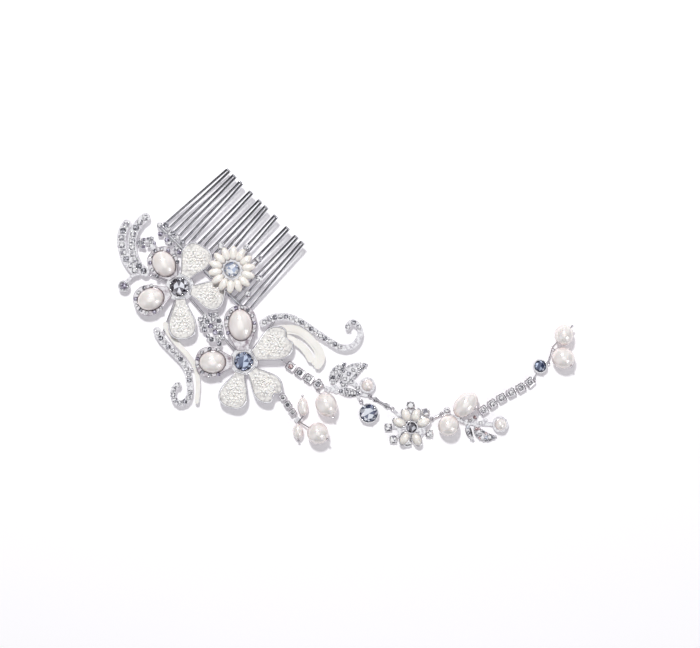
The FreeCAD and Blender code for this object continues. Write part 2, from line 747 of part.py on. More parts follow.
def make_filler():
    """Curved stone-set branch that fills the space between the flowers."""
    loop_band = band("left_loop", LEFT_LOOP, "S.branch_width", "S.branch_width * 0.7",
                     BAND_LOW, STRIP_THICKNESS)
    branch = band("filler_band", FILLER_BRANCH, "S.branch_width", "S.branch_width",
                  BAND_LOW, "S.band_thickness")
    node("filler_branches", [branch, loop_band])
    top = size(BAND_LOW + " + S.band_thickness")
    stones = stones_along("filler_stone", FILLER_BRANCH, top, "S.pave_radius * 1.1",
                          "S.pave_height", "S.pave_pitch * 1.15", 0.6, 0.6)
    low_top = size(BAND_LOW + " + " + STRIP_THICKNESS)
    stones += stones_along("loop_stone", LEFT_LOOP, low_top, "S.pave_radius * 0.8",
                           "S.pave_height", "S.pave_pitch", 2.4, 0.2)
    node("filler_stones", stones)


# ---------------------------------------------------------------- cup chains

CHAIN_START = (-24.5, -25.1)
CHAIN_HEADINGS = (-34, -34, -31, -28)
CHAIN_ENTRY = -36
CHAIN_ELBOW = (-29.4, -21.6)
TRAIL_START = (58.4, -44.3)
TRAIL_HEADINGS = (35, 33, 29, 27, 31, 38)
TRAIL_ENTRY = 41
SPRAY_START = (-27.6, -38.4)
SPRAY_HEADINGS = (-57, -57, -57)
SPRAY_ENTRY = -43


def joints_along(start, headings, pitch):
    """Joint centres of a chain whose links each keep one heading."""
    points = [V(start[0], start[1], 0)]
    for heading in headings:
        points.append(points[-1] + direction(heading) * size(pitch))
    return points


def socket_tools(name, entry):
    """Ball cavity and flared mouth that a chain ball sits in, at the origin."""
    level = size("S.ball_height")
    hollow = ball(name + "_cavity", "S.ball_radius + S.ball_clearance", V(0, 0, level))
    mouth = bind(doc.addObject("Part::Cone", name + "_mouth"),
                 Radius1="S.chain_wire_radius + S.ball_clearance",
                 Radius2="S.chain_wire_radius + S.ball_clearance"
                         " + 2 * S.socket_inset * tan(S.flex_angle * 1deg)",
                 Height="2 * S.socket_inset")
    mouth.Placement = FreeCAD.Placement(
        V(0, 0, level), FreeCAD.Rotation(UP, direction(entry) * -1))
    return fuse(name + "_socket", [hollow, mouth])


def eye(name, centre, axis=UP):
    """Small closed wire eye."""
    return loop(name, "S.eye_radius", "S.eye_wire_radius", centre, axis)


def chain_cup(name, start, heading, entry, width, pitch, ending, extra=()):
    """Square cup with a ball socket behind, a crystal on top and a bar ahead."""
    box = bind(doc.addObject("Part::Box", name + "_block"),
               Length=width, Width=width, Height="S.cup_height")
    box.Placement = turned((size("-S.socket_inset"), size("-(%s) / 2" % width), 0))
    seat = bind(doc.addObject("Part::Box", name + "_seat"),
                Length=width + " - 2 * S.cup_wall", Width=width + " - 2 * S.cup_wall",
                Height="S.cup_height")
    seat.Placement = turned((size("S.cup_wall - S.socket_inset"),
                             size("S.cup_wall - (%s) / 2" % width),
                             size("S.cup_height - S.cup_seat_depth")))
    hollow = fuse(name + "_tools", [seat, socket_tools(name, entry - heading)])
    cup = cut(name + "_cup", box, hollow)
    level = size("S.ball_height")
    front = size(width + " - S.socket_inset")
    pieces = [cup]
    if ending == "ball":
        tip = V(size(pitch), 0, level)
        pieces.append(rod(name + "_bar", "S.chain_wire_radius",
                          V(front - size("S.cup_wall / 2"), 0, level), tip))
        pieces.append(ball(name + "_ball", "S.ball_radius", tip))
    else:
        pieces.append(eye(name + "_eye", V(front + size("S.eye_radius * 0.9"), 0,
                                           size(EYE_LEVEL))))
    pieces += list(extra)
    solid = fuse(name + "_metal", pieces)
    solid.Placement = turned((start.x, start.y, 0), heading)
    middle = size(width + " / 2 - S.socket_inset")
    spot = start + direction(heading) * middle
    stone = facet_stone(name + "_stone", width + " / 2 - S.cup_wall - S.seat_gap",
                        "S.cup_seat_depth + S.cup_stone_crown",
                        V(spot.x, spot.y, size("S.cup_height - S.cup_seat_depth + S.seat_gap")))
    node(name, [solid, stone])


EYE_LEVEL = "S.eye_radius + S.eye_wire_radius + S.floor_gap"


def make_anchors():
    """Wires from the lower hub that end in the first ball of each chain."""
    level = size(WIRE_LEVEL)
    low = size("S.ball_height")
    pieces = []
    for name, start, corner, end in (
            ("chain_anchor", (-41.7, -23.1), CHAIN_ELBOW, CHAIN_START),
            ("spray_anchor", (-42.4, -24.9), (-33.5, -33.1), SPRAY_START)):
        points = [V(start[0], start[1], level), V(corner[0], corner[1], (level + low) / 2 + 0.15),
                  V(end[0], end[1], low)]
        wire = bent_wire(name + "_wire", "S.chain_wire_radius", points)
        pieces.append(fuse(name, [wire, ball(name + "_ball", "S.ball_radius", points[-1])]))
    node("chain_anchors", pieces)


def make_chain(prefix, start, headings, entry, width, pitch, endings, extras=None):
    """Row of jointed cups; returns the joint centres."""
    points = joints_along(start, headings, pitch)
    for i, heading in enumerate(headings):
        before = entry if i == 0 else headings[i - 1]
        extra = (extras or {}).get(i, ())
        chain_cup("%s_%d" % (prefix, i + 1), points[i], heading, before, width, pitch,
                  endings[i], extra)
    return points


def socket_block(name, start, heading, entry):
    """Small block with a ball socket, where a chain ends in a rigid piece."""
    box = bind(doc.addObject("Part::Box", name + "_block"), Length="S.spray_cup_width",
               Width="S.spray_cup_width", Height="2 * S.ball_height + 0.2 * S.ball_radius")
    box.Placement = turned((size("-S.socket_inset"), size("-S.spray_cup_width / 2"), 0))
    solid = cut(name, box, socket_tools(name, entry - heading))
    solid.Placement = turned((start.x, start.y, 0), heading)
    return solid


def drilled(name, base_pearl, start, end):
    """Pearl with the hole its pin passes through."""
    hole = rod(name + "_hole", "S.pin_radius + S.pin_clearance", start, end)
    return cut(name, base_pearl, hole)


def bail(name, centre, heading):
    """Upright ring that hangs in an eye; its middle is one eye radius ahead."""
    middle = polar(centre, heading, size("S.eye_radius"), size(EYE_LEVEL))
    return eye(name, middle, direction(heading + 90))


def hanging_pearl(name, pivot, heading, semis, height_level):
    """Pearl on a head pin whose ring hangs in an eye at the pivot."""
    reach = size("2 * S.eye_radius + S.eye_wire_radius * 0.5")
    near = polar(pivot, heading, reach, size(EYE_LEVEL))
    semi_length, semi_width, semi_height = semis
    gap = size("S.eye_wire_radius + S.seat_gap + 0.15")
    distance = reach + gap + size(semi_length)
    centre = polar(pivot, heading, distance, size(height_level))
    start = V(near.x, near.y, near.z)
    end = polar(pivot, heading, distance + size(semi_length) + size("S.pin_head_radius"),
                size(height_level))
    body = pearl(name + "_body", semi_length, semi_width, semi_height, centre, heading)
    entry = polar(pivot, heading, distance - size(semi_length) - size("S.pin_radius"),
                  size(height_level))
    bead = drilled(name + "_bead", body, entry, end)
    pin = fuse(name + "_pin_solid", [bail(name + "_ring", pivot, heading),
                                     bent_wire(name + "_shank", "S.pin_radius * 0.8",
                                               [start, entry, end]),
                                     ball(name + "_head", "S.pin_head_radius", end)])
    return bead, pin


def sprig_band(name, points, start_width, end_width):
    """Flat metal band lying on the table."""
    return band(name, points, start_width, end_width, "0", "S.sprig_thickness")


# ----------------------------------------------------------- jointed trail

# Bands of the two sprigs, from the joint that each sprig hangs on.
SPRIG_ONE_STEM = ((2.2, -0.5), (4.8, -0.9), (9.5, -1.6), (14.0, -2.2), (17.5, -3.0))
SPRIG_ONE_LEAVES = (
    ((4.0, -0.5), (2.7, 4.0), (4.3, 7.5), (7.3, 10.4)),
    ((7.0, -1.2), (8.1, 4.5), (11.5, 8.2), (16.3, 10.1)),
    ((8.4, 3.6), (12.6, 1.5), (13.9, -1.9)),
)
LEAF_STONE_START = (3.4, 3.0, 2.4)
LEAF_STONE_END = (0.0, 0.0, 2.4)
SPRIG_ONE_TWIG = ((12.8, -2.1), (13.6, -3.6), (14.1, -4.4))
SPRIG_ONE_PEARL = (17.5, 1.5)
SPRIG_TWO_STEM = ((1.25, -0.1), (4.9, -1.0), (8.8, -3.0), (13.6, -4.0), (19.0, -4.2), (21.6, -4.4))
SPRIG_TWO_LEAVES = (
    ((10.6, -3.6), (13.1, -2.4), (15.1, -0.8)),
    ((15.1, -4.4), (17.4, -3.6), (19.2, -2.4)),
    ((11.1, -4.0), (11.7, -7.9), (13.4, -11.2)),
    ((14.8, -4.8), (16.6, -9.0), (20.1, -10.3), (23.1, -9.7)),
)
SPRIG_TWO_PEARL = (25.2, -4.5)
SPRIG_TWO_EXIT = (17.5, 1.3)
SPRIG_TWO_CRYSTAL = (2.3, 1.5)
SPRIG_TWO_PEARLS = (((2.7, -4.9), (4.6, -1.3), 20, 0.99), ((10.1, 4.1), (8.1, -2.5), 45, 1.0))
DAISY_CENTRE = (8.2, -7.9)
DAISY_PEARL_BEARINGS = (158, 114, 70, 23, -66, -122)
DAISY_CRYSTALS = ((92, 9.4), (180, 10.0), (214, 9.4), (258, 7.6), (-20, 8.2), (46, 8.8))
DAISY_EXIT = 22
END_KNOT = (1.6, 6.8)

PIVOTS = {}


def shifted(points, origin):
    """Points moved from a joint's own frame to the table."""
    return [(x + origin.x, y + origin.y) for x, y in points]


def band_end(points, width):
    """Round tip of a band's end and the direction it points in."""
    curve = curve_through(points)
    along = curve.tangent(curve.LastParameter)[0]
    tip = curve.value(curve.LastParameter) + along * (size(width) / 2)
    return tip, along


def eye_at_tip(name, points, width):
    """Eye soldered to the end of a band, and its centre."""
    tip, along = band_end(points, width)
    centre = tip + along * size("S.eye_radius - 0.4 * S.eye_wire_radius")
    centre.z = size(EYE_LEVEL)
    return eye(name, centre), centre


def bezel(name, centre):
    """Cup for a round pearl, and the pearl that it holds."""
    level = size("S.bezel_floor + S.seat_gap + S.bezel_pearl_radius")
    block = disc(name + "_block", "S.bezel_pearl_radius + S.bezel_wall", "S.bezel_height", centre)
    hollow = ball(name + "_hollow", "S.bezel_pearl_radius + S.seat_gap",
                  V(centre.x, centre.y, level))
    held = ball(name + "_pearl", "S.bezel_pearl_radius", V(centre.x, centre.y, level))
    return block, hollow, held


def make_sprig_one(origin):
    """Leafy sprig with a bezel pearl; carries the crystal drop and the long link."""
    stem = shifted(SPRIG_ONE_STEM, origin)
    twig = shifted(SPRIG_ONE_TWIG, origin)
    top = size("S.sprig_thickness")
    metal = [socket_block("sprig_one_socket", origin, -20, CHAIN_HEADINGS[-1]),
             sprig_band("sprig_one_stem", stem, "S.sprig_stem_width", "S.sprig_stem_width * 0.7"),
             sprig_band("sprig_one_twig", twig, "S.sprig_stem_width * 0.7",
                        "S.sprig_stem_width * 0.7")]
    stones = []
    for i, leaf in enumerate(SPRIG_ONE_LEAVES):
        points = shifted(leaf, origin)
        metal.append(sprig_band("sprig_one_leaf_%d" % i, points, "S.sprig_leaf_width * 1.15",
                                "S.sprig_leaf_width * 0.4"))
        stones += stones_along("sprig_one_stone_%d" % i, points, top, "S.pave_radius",
                               "S.pave_height", "S.pave_pitch", LEAF_STONE_START[i],
                               LEAF_STONE_END[i])
    stones += stones_along("sprig_one_stem_stone", stem[1:4], top, "S.pave_radius",
                           "S.pave_height", "S.pave_pitch", 1.3, 0.6)
    out_eye, out_centre = eye_at_tip("sprig_one_out", stem, "S.sprig_stem_width * 0.7")
    drop_eye, drop_centre = eye_at_tip("sprig_one_drop", twig, "S.sprig_stem_width * 0.7")
    block, hollow, held = bezel("sprig_one_bezel", polar(origin, 0, SPRIG_ONE_PEARL[0])
                                + V(0, SPRIG_ONE_PEARL[1], 0))
    solid = cut("sprig_one_solid", fuse("sprig_one_metal", metal + [out_eye, drop_eye, block]),
                hollow)
    node("sprig_one_frame", [solid])
    node("sprig_one_stones", stones)
    node("sprig_one_pearl", [held])
    PIVOTS["crystal_drop"] = drop_centre
    PIVOTS["long_link"] = out_centre


def make_drop(pivot, heading):
    """Round crystal in a deep setting, hanging from its own ring."""
    reach = size("2 * S.eye_radius")
    edge = size("S.drop_stone_radius + S.seat_gap + S.centre_setting_wall")
    centre = polar(pivot, heading, reach + edge + size("S.eye_radius * 0.5"))
    cup = setting("drop_cup", "S.drop_stone_radius", "S.centre_setting_height",
                  "S.centre_seat_depth", centre)
    level = size(EYE_LEVEL)
    shank = rod("drop_shank", "S.eye_wire_radius", polar(pivot, heading, reach, level),
                polar(pivot, heading, reach + size("S.eye_radius"), level))
    node("crystal_drop_setting", [fuse("drop_metal", [cup, shank,
                                                      bail("drop_ring", pivot, heading)])])
    seat = V(centre.x, centre.y, size("S.centre_setting_height - S.centre_seat_depth + S.seat_gap"))
    node("crystal_drop_stone", [centre_stone("drop_stone", "S.drop_stone_radius",
                                             "S.drop_stone_height", seat)])


def make_link(label, pivot, heading, length):
    """Twisted wire link with an upright ring at each end; returns the far joint."""
    far = polar(pivot, heading, size(length))
    level = size(EYE_LEVEL)
    reach = size("2 * S.eye_radius")
    start = polar(pivot, heading, reach, level)
    end = polar(far, heading + 180, reach, level)
    metal = [bail(label + "_ring_a", pivot, heading), bail(label + "_ring_b", far, heading + 180),
             rod(label + "_shank", "S.eye_wire_radius * 2.4", start, end)]
    node(label, [fuse(label + "_metal", metal)])
    return far


def make_daisy(pivot):
    """Small pearl daisy between two eyes, with loose crystals round it."""
    centre = V(pivot.x + DAISY_CENTRE[0], pivot.y + DAISY_CENTRE[1], 0)
    top = size("S.sprig_thickness")
    reach = size("S.daisy_plate_radius - 1")
    metal = [disc("daisy_plate", "S.daisy_plate_radius", "S.sprig_thickness", centre)]
    inward = math.degrees(math.atan2(-DAISY_CENTRE[1], -DAISY_CENTRE[0]))
    gap = math.hypot(*DAISY_CENTRE) - size("S.eye_radius - 0.4 * S.eye_wire_radius"
                                           " + S.sprig_stem_width * 0.35")
    arm = [polar(centre, inward, reach), polar(centre, inward, gap)]
    metal.append(sprig_band("daisy_arm", [(p.x, p.y) for p in arm], "S.sprig_stem_width * 0.7",
                            "S.sprig_stem_width * 0.7"))
    metal.append(eye("daisy_in", V(pivot.x, pivot.y, size(EYE_LEVEL))))
    out_reach = size("S.daisy_pearl_ring + S.daisy_pearl_length - 0.2 * S.eye_radius")
    out = [polar(centre, DAISY_EXIT, reach), polar(centre, DAISY_EXIT, out_reach)]
    out_points = [(p.x, p.y) for p in out]
    metal.append(sprig_band("daisy_out_arm", out_points, "S.sprig_stem_width * 0.7",
                            "S.sprig_stem_width * 0.7"))
    out_eye, out_centre = eye_at_tip("daisy_out", out_points, "S.sprig_stem_width * 0.7")
    metal.append(out_eye)
    stones = []
    for i, (bearing, distance) in enumerate(DAISY_CRYSTALS):
        spot = polar(centre, bearing, distance)
        spoke = [polar(centre, bearing, reach), spot]
        metal.append(sprig_band("daisy_spoke_%d" % i, [(p.x, p.y) for p in spoke],
                                "S.sprig_stem_width * 0.7", "S.sprig_stem_width * 0.7"))
        metal.append(disc("daisy_pad_%d" % i, "S.pave_radius * 1.4", "S.sprig_thickness", spot))
        stones.append(facet_stone("daisy_crystal_%d" % i, "S.pave_radius * 1.3",
                                  "S.pave_height", V(spot.x, spot.y, top)))
    plate = fuse("daisy_metal", metal)
    pearls = []
    level = size("S.sprig_thickness + S.seat_gap + S.daisy_pearl_width")
    for i, bearing in enumerate(DAISY_PEARL_BEARINGS):
        spot = polar(centre, bearing, size("S.daisy_pearl_ring"), level)
        pearls.append(pearl("daisy_pearl_%d" % i, "S.daisy_pearl_length", "S.daisy_pearl_width",
                            "S.daisy_pearl_width", spot, bearing))
    node("daisy_pearls", pearls)
    base = V(centre.x, centre.y, top)
    cup = setting("daisy_cup", "S.daisy_stone_radius", "S.centre_setting_height",
                  "S.centre_seat_depth", base)
    node("daisy_frame", [plate, cup])
    seat = V(centre.x, centre.y, size("S.sprig_thickness + S.centre_setting_height"
                                      " - S.centre_seat_depth + S.seat_gap"))
    stones.append(centre_stone("daisy_stone", "S.daisy_stone_radius", "S.centre_stone_height * 0.8",
                               seat))
    node("daisy_stones", stones)
    return out_centre


def make_sprig_two(origin):
    """Second sprig: two large pearls on pegs, four leaves and a bezel pearl."""
    stem = shifted(SPRIG_TWO_STEM, origin)
    top = size("S.sprig_thickness")
    metal = [eye("sprig_two_in", V(origin.x, origin.y, size(EYE_LEVEL))),
             sprig_band("sprig_two_stem", stem, "S.sprig_stem_width * 0.7", "S.sprig_stem_width")]
    stones = []
    for i, leaf in enumerate(SPRIG_TWO_LEAVES):
        points = shifted(leaf, origin)
        metal.append(sprig_band("sprig_two_leaf_%d" % i, points, "S.sprig_leaf_width * 0.8",
                                "S.sprig_leaf_width * 0.5"))
        stones += stones_along("sprig_two_stone_%d" % i, points, top, "S.pave_radius * 0.9",
                               "S.pave_height", "S.pave_pitch", 1.7, 1.0)
    spot = V(origin.x + SPRIG_TWO_CRYSTAL[0], origin.y + SPRIG_TWO_CRYSTAL[1], 0)
    metal.append(disc("sprig_two_pad", "S.crystal_radius", "S.sprig_thickness", spot))
    stones.append(facet_stone("sprig_two_crystal", "S.crystal_radius * 0.9", "S.crystal_height",
                              V(spot.x, spot.y, top)))
    start = V(origin.x + SPRIG_TWO_EXIT[0], origin.y + SPRIG_TWO_EXIT[1], size("S.ball_height"))
    root = shifted([SPRIG_TWO_LEAVES[0][-1]], origin)[0]
    metal.append(rod("sprig_two_bar", "S.chain_wire_radius",
                     V(root[0], root[1], size("S.ball_height")), start))
    metal.append(ball("sprig_two_ball", "S.ball_radius", start))
    pearls = []
    for i, (place, foot, angle, longer) in enumerate(SPRIG_TWO_PEARLS):
        semi = ("S.potato_pearl * 0.99", "S.oval_pearl_length")[i]
        height = "S.potato_pearl * 0.9"
        centre = V(origin.x + place[0], origin.y + place[1], size(height + " + S.floor_gap"))
        base = V(origin.x + foot[0], origin.y + foot[1], size("S.sprig_thickness * 0.6"))
        past = centre + (centre - base).normalize() * size("2 * S.pin_radius")
        body = pearl("sprig_two_body_%d" % i, semi, "S.potato_pearl * 0.96", height, centre, angle)
        hole = rod("sprig_two_hole_%d" % i, "S.pin_radius + S.pin_clearance", base, past)
        pearls.append(cut("sprig_two_pearl_%d" % i, body, hole))
        metal.append(rod("sprig_two_peg_%d" % i, "S.pin_radius", base, centre))
    block, hollow, held = bezel("sprig_two_bezel", V(origin.x + SPRIG_TWO_PEARL[0],
                                                     origin.y + SPRIG_TWO_PEARL[1], 0))
    metal.append(block)
    pearls.append(held)
    node("sprig_two_frame", [cut("sprig_two_solid", fuse("sprig_two_metal", metal), hollow)])
    node("sprig_two_stones", stones)
    node("sprig_two_pearls", pearls)
    return start


def make_tail(pivot, heading):
    """Crystal in a setting between two rings near the end of the trail."""
    edge = size("S.tail_stone_radius + S.seat_gap + S.centre_setting_wall")
    reach = size("2 * S.eye_radius")
    centre = polar(pivot, heading, reach + size("S.tail_shank") + edge)
    level = size(EYE_LEVEL)
    cup = setting("tail_cup", "S.tail_stone_radius", "S.centre_setting_height",
                  "S.centre_seat_depth", centre)
    shank = rod("tail_shank_wire", "S.eye_wire_radius", polar(pivot, heading, reach, level),
                polar(pivot, heading, reach + size("S.tail_shank + S.centre_setting_wall / 2"),
                      level))
    out = polar(centre, 20, edge + size("S.eye_radius * 0.9"), level)
    metal = [cup, shank, bail("tail_ring", pivot, heading), eye("tail_out", out)]
    node("tail_setting", [fuse("tail_metal", metal)])
    seat = V(centre.x, centre.y, size("S.centre_setting_height - S.centre_seat_depth + S.seat_gap"))
    node("tail_stone", [centre_stone("tail_stone_solid", "S.tail_stone_radius",
                                     "S.centre_stone_height", seat)])
    return out


def knot_pin(name, knot, centre, semi):
    """Head pin that runs from a knot through a pearl to its far side."""
    along = (centre - knot).normalize()
    end = centre + along * (semi + size("S.pin_head_radius * 0.6"))
    pin = [rod(name + "_wire", "S.pin_radius", knot, end),
           ball(name + "_head", "S.pin_head_radius", end)]
    hole = rod(name + "_hole", "S.pin_radius + S.pin_clearance", knot, end)
    stop = ball(name + "_stop", "S.pin_head_radius + S.seat_gap", end)
    return pin, fuse(name + "_room", [hole, stop])


def make_end_pearls(pivot):
    """Two large pearls on pins from one knot, at the end of the trail."""
    level = size(EYE_LEVEL)
    reach = size("2 * S.eye_radius")
    knot = V(pivot.x + END_KNOT[0], pivot.y + END_KNOT[1], size("S.potato_pearl * 0.65"))
    metal = [bail("end_ring", pivot, 75), ball("end_knot", "S.pin_head_radius", knot),
             rod("end_shank", "S.pin_radius * 0.9", polar(pivot, 75, reach, level), knot)]
    pearls = []
    for i, (x, y, semi_x, semi_y) in enumerate(((4.5, -4.5, 1.06, 0.98), (4.9, 5.4, 0.86, 0.98))):
        centre = V(knot.x + x, knot.y + y, size("S.potato_pearl * 0.9 + S.floor_gap"))
        body = pearl("end_body_%d" % i, "S.potato_pearl * %s" % semi_x,
                     "S.potato_pearl * %s" % semi_y, "S.potato_pearl * 0.9", centre, 0)
        pin, room = knot_pin("end_pin_%d" % i, knot, centre, size("S.potato_pearl"))
        pearls.append(cut("end_pearl_%d" % i, body, room))
        metal += pin
    node("end_pearls", pearls)
    node("end_pins", [fuse("end_metal", metal)])


def make_spray(origin):
    """Three pearls on wires from the last socket of the spray chain."""
    heading = -50
    level = size("2 * S.ball_height")
    front = size("S.spray_cup_width - S.socket_inset")
    knot = polar(origin, heading, front - size("S.pin_radius"), level)
    metal = [socket_block("spray_socket", origin, heading, SPRAY_HEADINGS[-1])]
    pearls = []
    rice_level = size("S.rice_pearl + S.floor_gap")
    for i, (x, turn, semi) in enumerate(((1.9, 92, "S.rice_pearl * 1.72"),
                                         (-0.5, -87, "S.rice_pearl * 1.4"))):
        gap = 2.2 if turn > 0 else 0.9
        entry = V(knot.x + x, knot.y + math.copysign(gap, turn), rice_level)
        centre = polar(entry, turn, size(semi) + size("S.seat_gap"), rice_level)
        end = polar(entry, turn, 2 * size(semi) + size("S.pin_head_radius"), rice_level)
        body = pearl("spray_body_%d" % i, semi, "S.rice_pearl", "S.rice_pearl", centre, turn)
        pearls.append(drilled("spray_pearl_%d" % i, body, entry, end))
        metal.append(bent_wire("spray_pin_%d" % i, "S.pin_radius", [knot, entry, end]))
        metal.append(ball("spray_head_%d" % i, "S.pin_head_radius", end))
    centre = V(knot.x + 8.3, knot.y - 4.9, size("S.potato_pearl * 0.93 + S.floor_gap"))
    body = pearl("spray_body_2", "S.potato_pearl * 0.99", "S.potato_pearl * 1.02",
                 "S.potato_pearl * 0.93", centre, 0)
    pin, room = knot_pin("spray_pin_2", knot, centre, size("S.potato_pearl"))
    pearls.append(cut("spray_pearl_2", body, room))
    node("spray_pearls", pearls)
    node("spray_stem", [fuse("spray_metal", metal + pin)])


def make_trail():
    """Everything that hangs on the lower flower, joint by joint."""
    make_anchors()
    side_eye = eye("drop_eye", V(size("0.5 * S.cup_width"),
                                 size("-(S.cup_width / 2 + S.eye_radius * 0.85)"),
                                 size(EYE_LEVEL)))
    chain = make_chain("chain_cup", CHAIN_START, CHAIN_HEADINGS, CHAIN_ENTRY, "S.cup_width",
                       "S.cup_pitch", ("ball",) * 4, {3: (side_eye,)})
    PIVOTS["chain"] = chain
    turn = CHAIN_HEADINGS[3]
    drop = (chain[3] + direction(turn) * size("0.5 * S.cup_width")
            + direction(turn - 90) * size("S.cup_width / 2 + S.eye_radius * 0.85"))
    PIVOTS["pearl_drop"] = drop
    bead, pin = hanging_pearl("pearl_drop", drop, -60, ("S.pearl_length * 0.95", "S.pearl_width",
                                                        "S.pearl_width * 0.92"),
                              "S.pearl_width * 0.92 + S.floor_gap")
    node("drop_pearl", [bead])
    node("drop_pearl_pin", [pin])
    make_sprig_one(chain[-1])
    make_drop(PIVOTS["crystal_drop"], -57)
    daisy = make_link("long_link", PIVOTS["long_link"], -29, "S.link_length")
    PIVOTS["daisy"] = daisy
    PIVOTS["short_link"] = make_daisy(daisy)
    PIVOTS["sprig_two"] = make_link("short_link", PIVOTS["short_link"], 27, "S.short_link_length")
    trail_start = make_sprig_two(PIVOTS["sprig_two"])
    trail = make_chain("trail_cup", (trail_start.x, trail_start.y), TRAIL_HEADINGS, TRAIL_ENTRY,
                       "S.cup_width", "S.cup_pitch", ("ball",) * 5 + ("eye",))
    PIVOTS["trail"] = trail
    reach = size("S.cup_width - S.socket_inset + S.eye_radius * 0.9")
    PIVOTS["tail"] = trail[5] + direction(TRAIL_HEADINGS[5]) * reach
    PIVOTS["end"] = make_tail(PIVOTS["tail"], 64)
    make_end_pearls(PIVOTS["end"])
    spray = make_chain("spray_cup", SPRAY_START, SPRAY_HEADINGS, SPRAY_ENTRY,
                       "S.spray_cup_width", "S.spray_cup_pitch", ("ball",) * 3)
    PIVOTS["spray"] = spray
    make_spray(spray[-1])


def check_and_write():
    """Stop on any failed object, then write each sub-part to its own file."""
    doc.recompute()
    for entry in doc.Objects:
        if "Invalid" in entry.State or "Error" in entry.State:
            raise RuntimeError("failed object: %s %s" % (entry.Name, entry.State))
    for entry in NODES:
        if entry.Shape.isNull() or not entry.Shape.isValid():
            raise RuntimeError("bad shape: " + entry.Label)
    os.makedirs("parts", exist_ok=True)
    for entry in NODES:
        entry.Shape.exportStep(os.path.join("parts", entry.Label + ".step"))


make_comb()
make_hubs()
make_bead_petals()
make_pearl_petals()
make_centres()
make_small_flower()
make_frame_wires()
make_bands()
make_left_sprig()
make_filler()
make_trail()
check_and_write()
print("sub-parts:", len(NODES))
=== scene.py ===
"""Looks of a flower hair comb: plated silver, seed beads, pearls and set crystals.

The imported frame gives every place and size. Each class below dresses one family of
pieces: it reads the solids of its nodes, models the finished pieces over them and
lets them ride on the same bodies.
"""

import json
import logging
import math
import random
from dataclasses import dataclass, field
from enum import Enum
from typing import Callable, Iterable, Sequence

import bmesh
import bpy
from mathutils import Matrix, Vector, noise
from mathutils.bvhtree import BVHTree

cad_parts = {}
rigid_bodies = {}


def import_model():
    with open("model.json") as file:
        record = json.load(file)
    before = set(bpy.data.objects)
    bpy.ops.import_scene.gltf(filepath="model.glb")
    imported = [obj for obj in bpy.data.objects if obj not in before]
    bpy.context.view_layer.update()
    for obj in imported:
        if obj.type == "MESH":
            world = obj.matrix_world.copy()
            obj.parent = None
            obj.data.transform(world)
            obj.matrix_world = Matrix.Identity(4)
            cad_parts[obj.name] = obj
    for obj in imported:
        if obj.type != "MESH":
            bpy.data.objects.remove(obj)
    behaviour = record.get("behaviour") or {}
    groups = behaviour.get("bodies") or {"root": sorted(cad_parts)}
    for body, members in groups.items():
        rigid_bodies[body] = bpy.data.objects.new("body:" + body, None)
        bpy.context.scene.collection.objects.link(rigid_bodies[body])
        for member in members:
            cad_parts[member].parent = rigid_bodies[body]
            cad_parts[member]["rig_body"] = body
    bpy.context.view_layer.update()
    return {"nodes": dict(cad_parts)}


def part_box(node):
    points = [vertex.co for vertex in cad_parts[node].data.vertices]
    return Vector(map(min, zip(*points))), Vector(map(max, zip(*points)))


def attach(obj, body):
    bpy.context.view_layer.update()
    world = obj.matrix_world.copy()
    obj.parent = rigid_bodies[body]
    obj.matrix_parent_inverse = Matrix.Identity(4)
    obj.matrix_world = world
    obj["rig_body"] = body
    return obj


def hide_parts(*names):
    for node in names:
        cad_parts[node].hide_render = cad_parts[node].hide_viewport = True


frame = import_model()

MM = 0.001
UP = Vector((0.0, 0.0, 1.0))
Colour = tuple[float, float, float]
log = logging.getLogger("hair_comb")


# Reading the solids of the frame


@dataclass(frozen=True)
class Seat:
    """Place of one set stone.

    Attributes:
        base: Middle of the stone's underside.
        radius: Radius at the girdle.
        height: Height of the stone over its base.
    """

    base: Vector
    radius: float
    height: float


@dataclass(frozen=True)
class PearlBody:
    """Place of one pearl.

    Attributes:
        middle: Middle of the whole pearl.
        angle: Bearing of the long axis from +X, in radians.
        semis: Half length, half width and half height.
        floor: Height of the flat under the pearl.
    """

    middle: Vector
    angle: float
    semis: Vector
    floor: float


def body_of(node: str) -> str:
    """Name of the body that a node belongs to."""
    return frame["nodes"][node]["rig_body"]


def merged_copy(node: str) -> bmesh.types.BMesh:
    """Copy a node's loose triangles into one welded mesh.

    Args:
        node: Name of the CAD node.

    Returns:
        A new mesh, in metres, in the row frame.
    """
    mesh = bmesh.new()
    mesh.from_mesh(frame["nodes"][node].data)
    bmesh.ops.remove_doubles(mesh, verts=mesh.verts, dist=0.001 * MM)
    return mesh


def solids_of(mesh: bmesh.types.BMesh) -> list[list[bmesh.types.BMVert]]:
    """Sort a mesh's vertices into its separate solids.

    Args:
        mesh: Welded mesh of a node.

    Returns:
        One list of vertices for each solid.
    """
    seen: set[bmesh.types.BMVert] = set()
    solids = []
    for start in mesh.verts:
        if start in seen:
            continue
        seen.add(start)
        solid = [start]
        for vert in solid:
            for edge in vert.link_edges:
                other = edge.other_vert(vert)
                if other not in seen:
                    seen.add(other)
                    solid.append(other)
        solids.append(solid)
    return solids


def corners(verts: Iterable[bmesh.types.BMVert]) -> tuple[Vector, Vector]:
    """Lowest and highest corner of some vertices."""
    points = [vert.co for vert in verts]
    low = Vector(min(p[i] for p in points) for i in range(3))
    high = Vector(max(p[i] for p in points) for i in range(3))
    return low, high


def seat_of(verts: Iterable[bmesh.types.BMVert]) -> Seat:
    """Place of the stone that a solid stands for."""
    low, high = corners(verts)
    middle = (low + high) / 2
    return Seat(Vector((middle.x, middle.y, low.z)), (high.x - low.x) / 2, high.z - low.z)


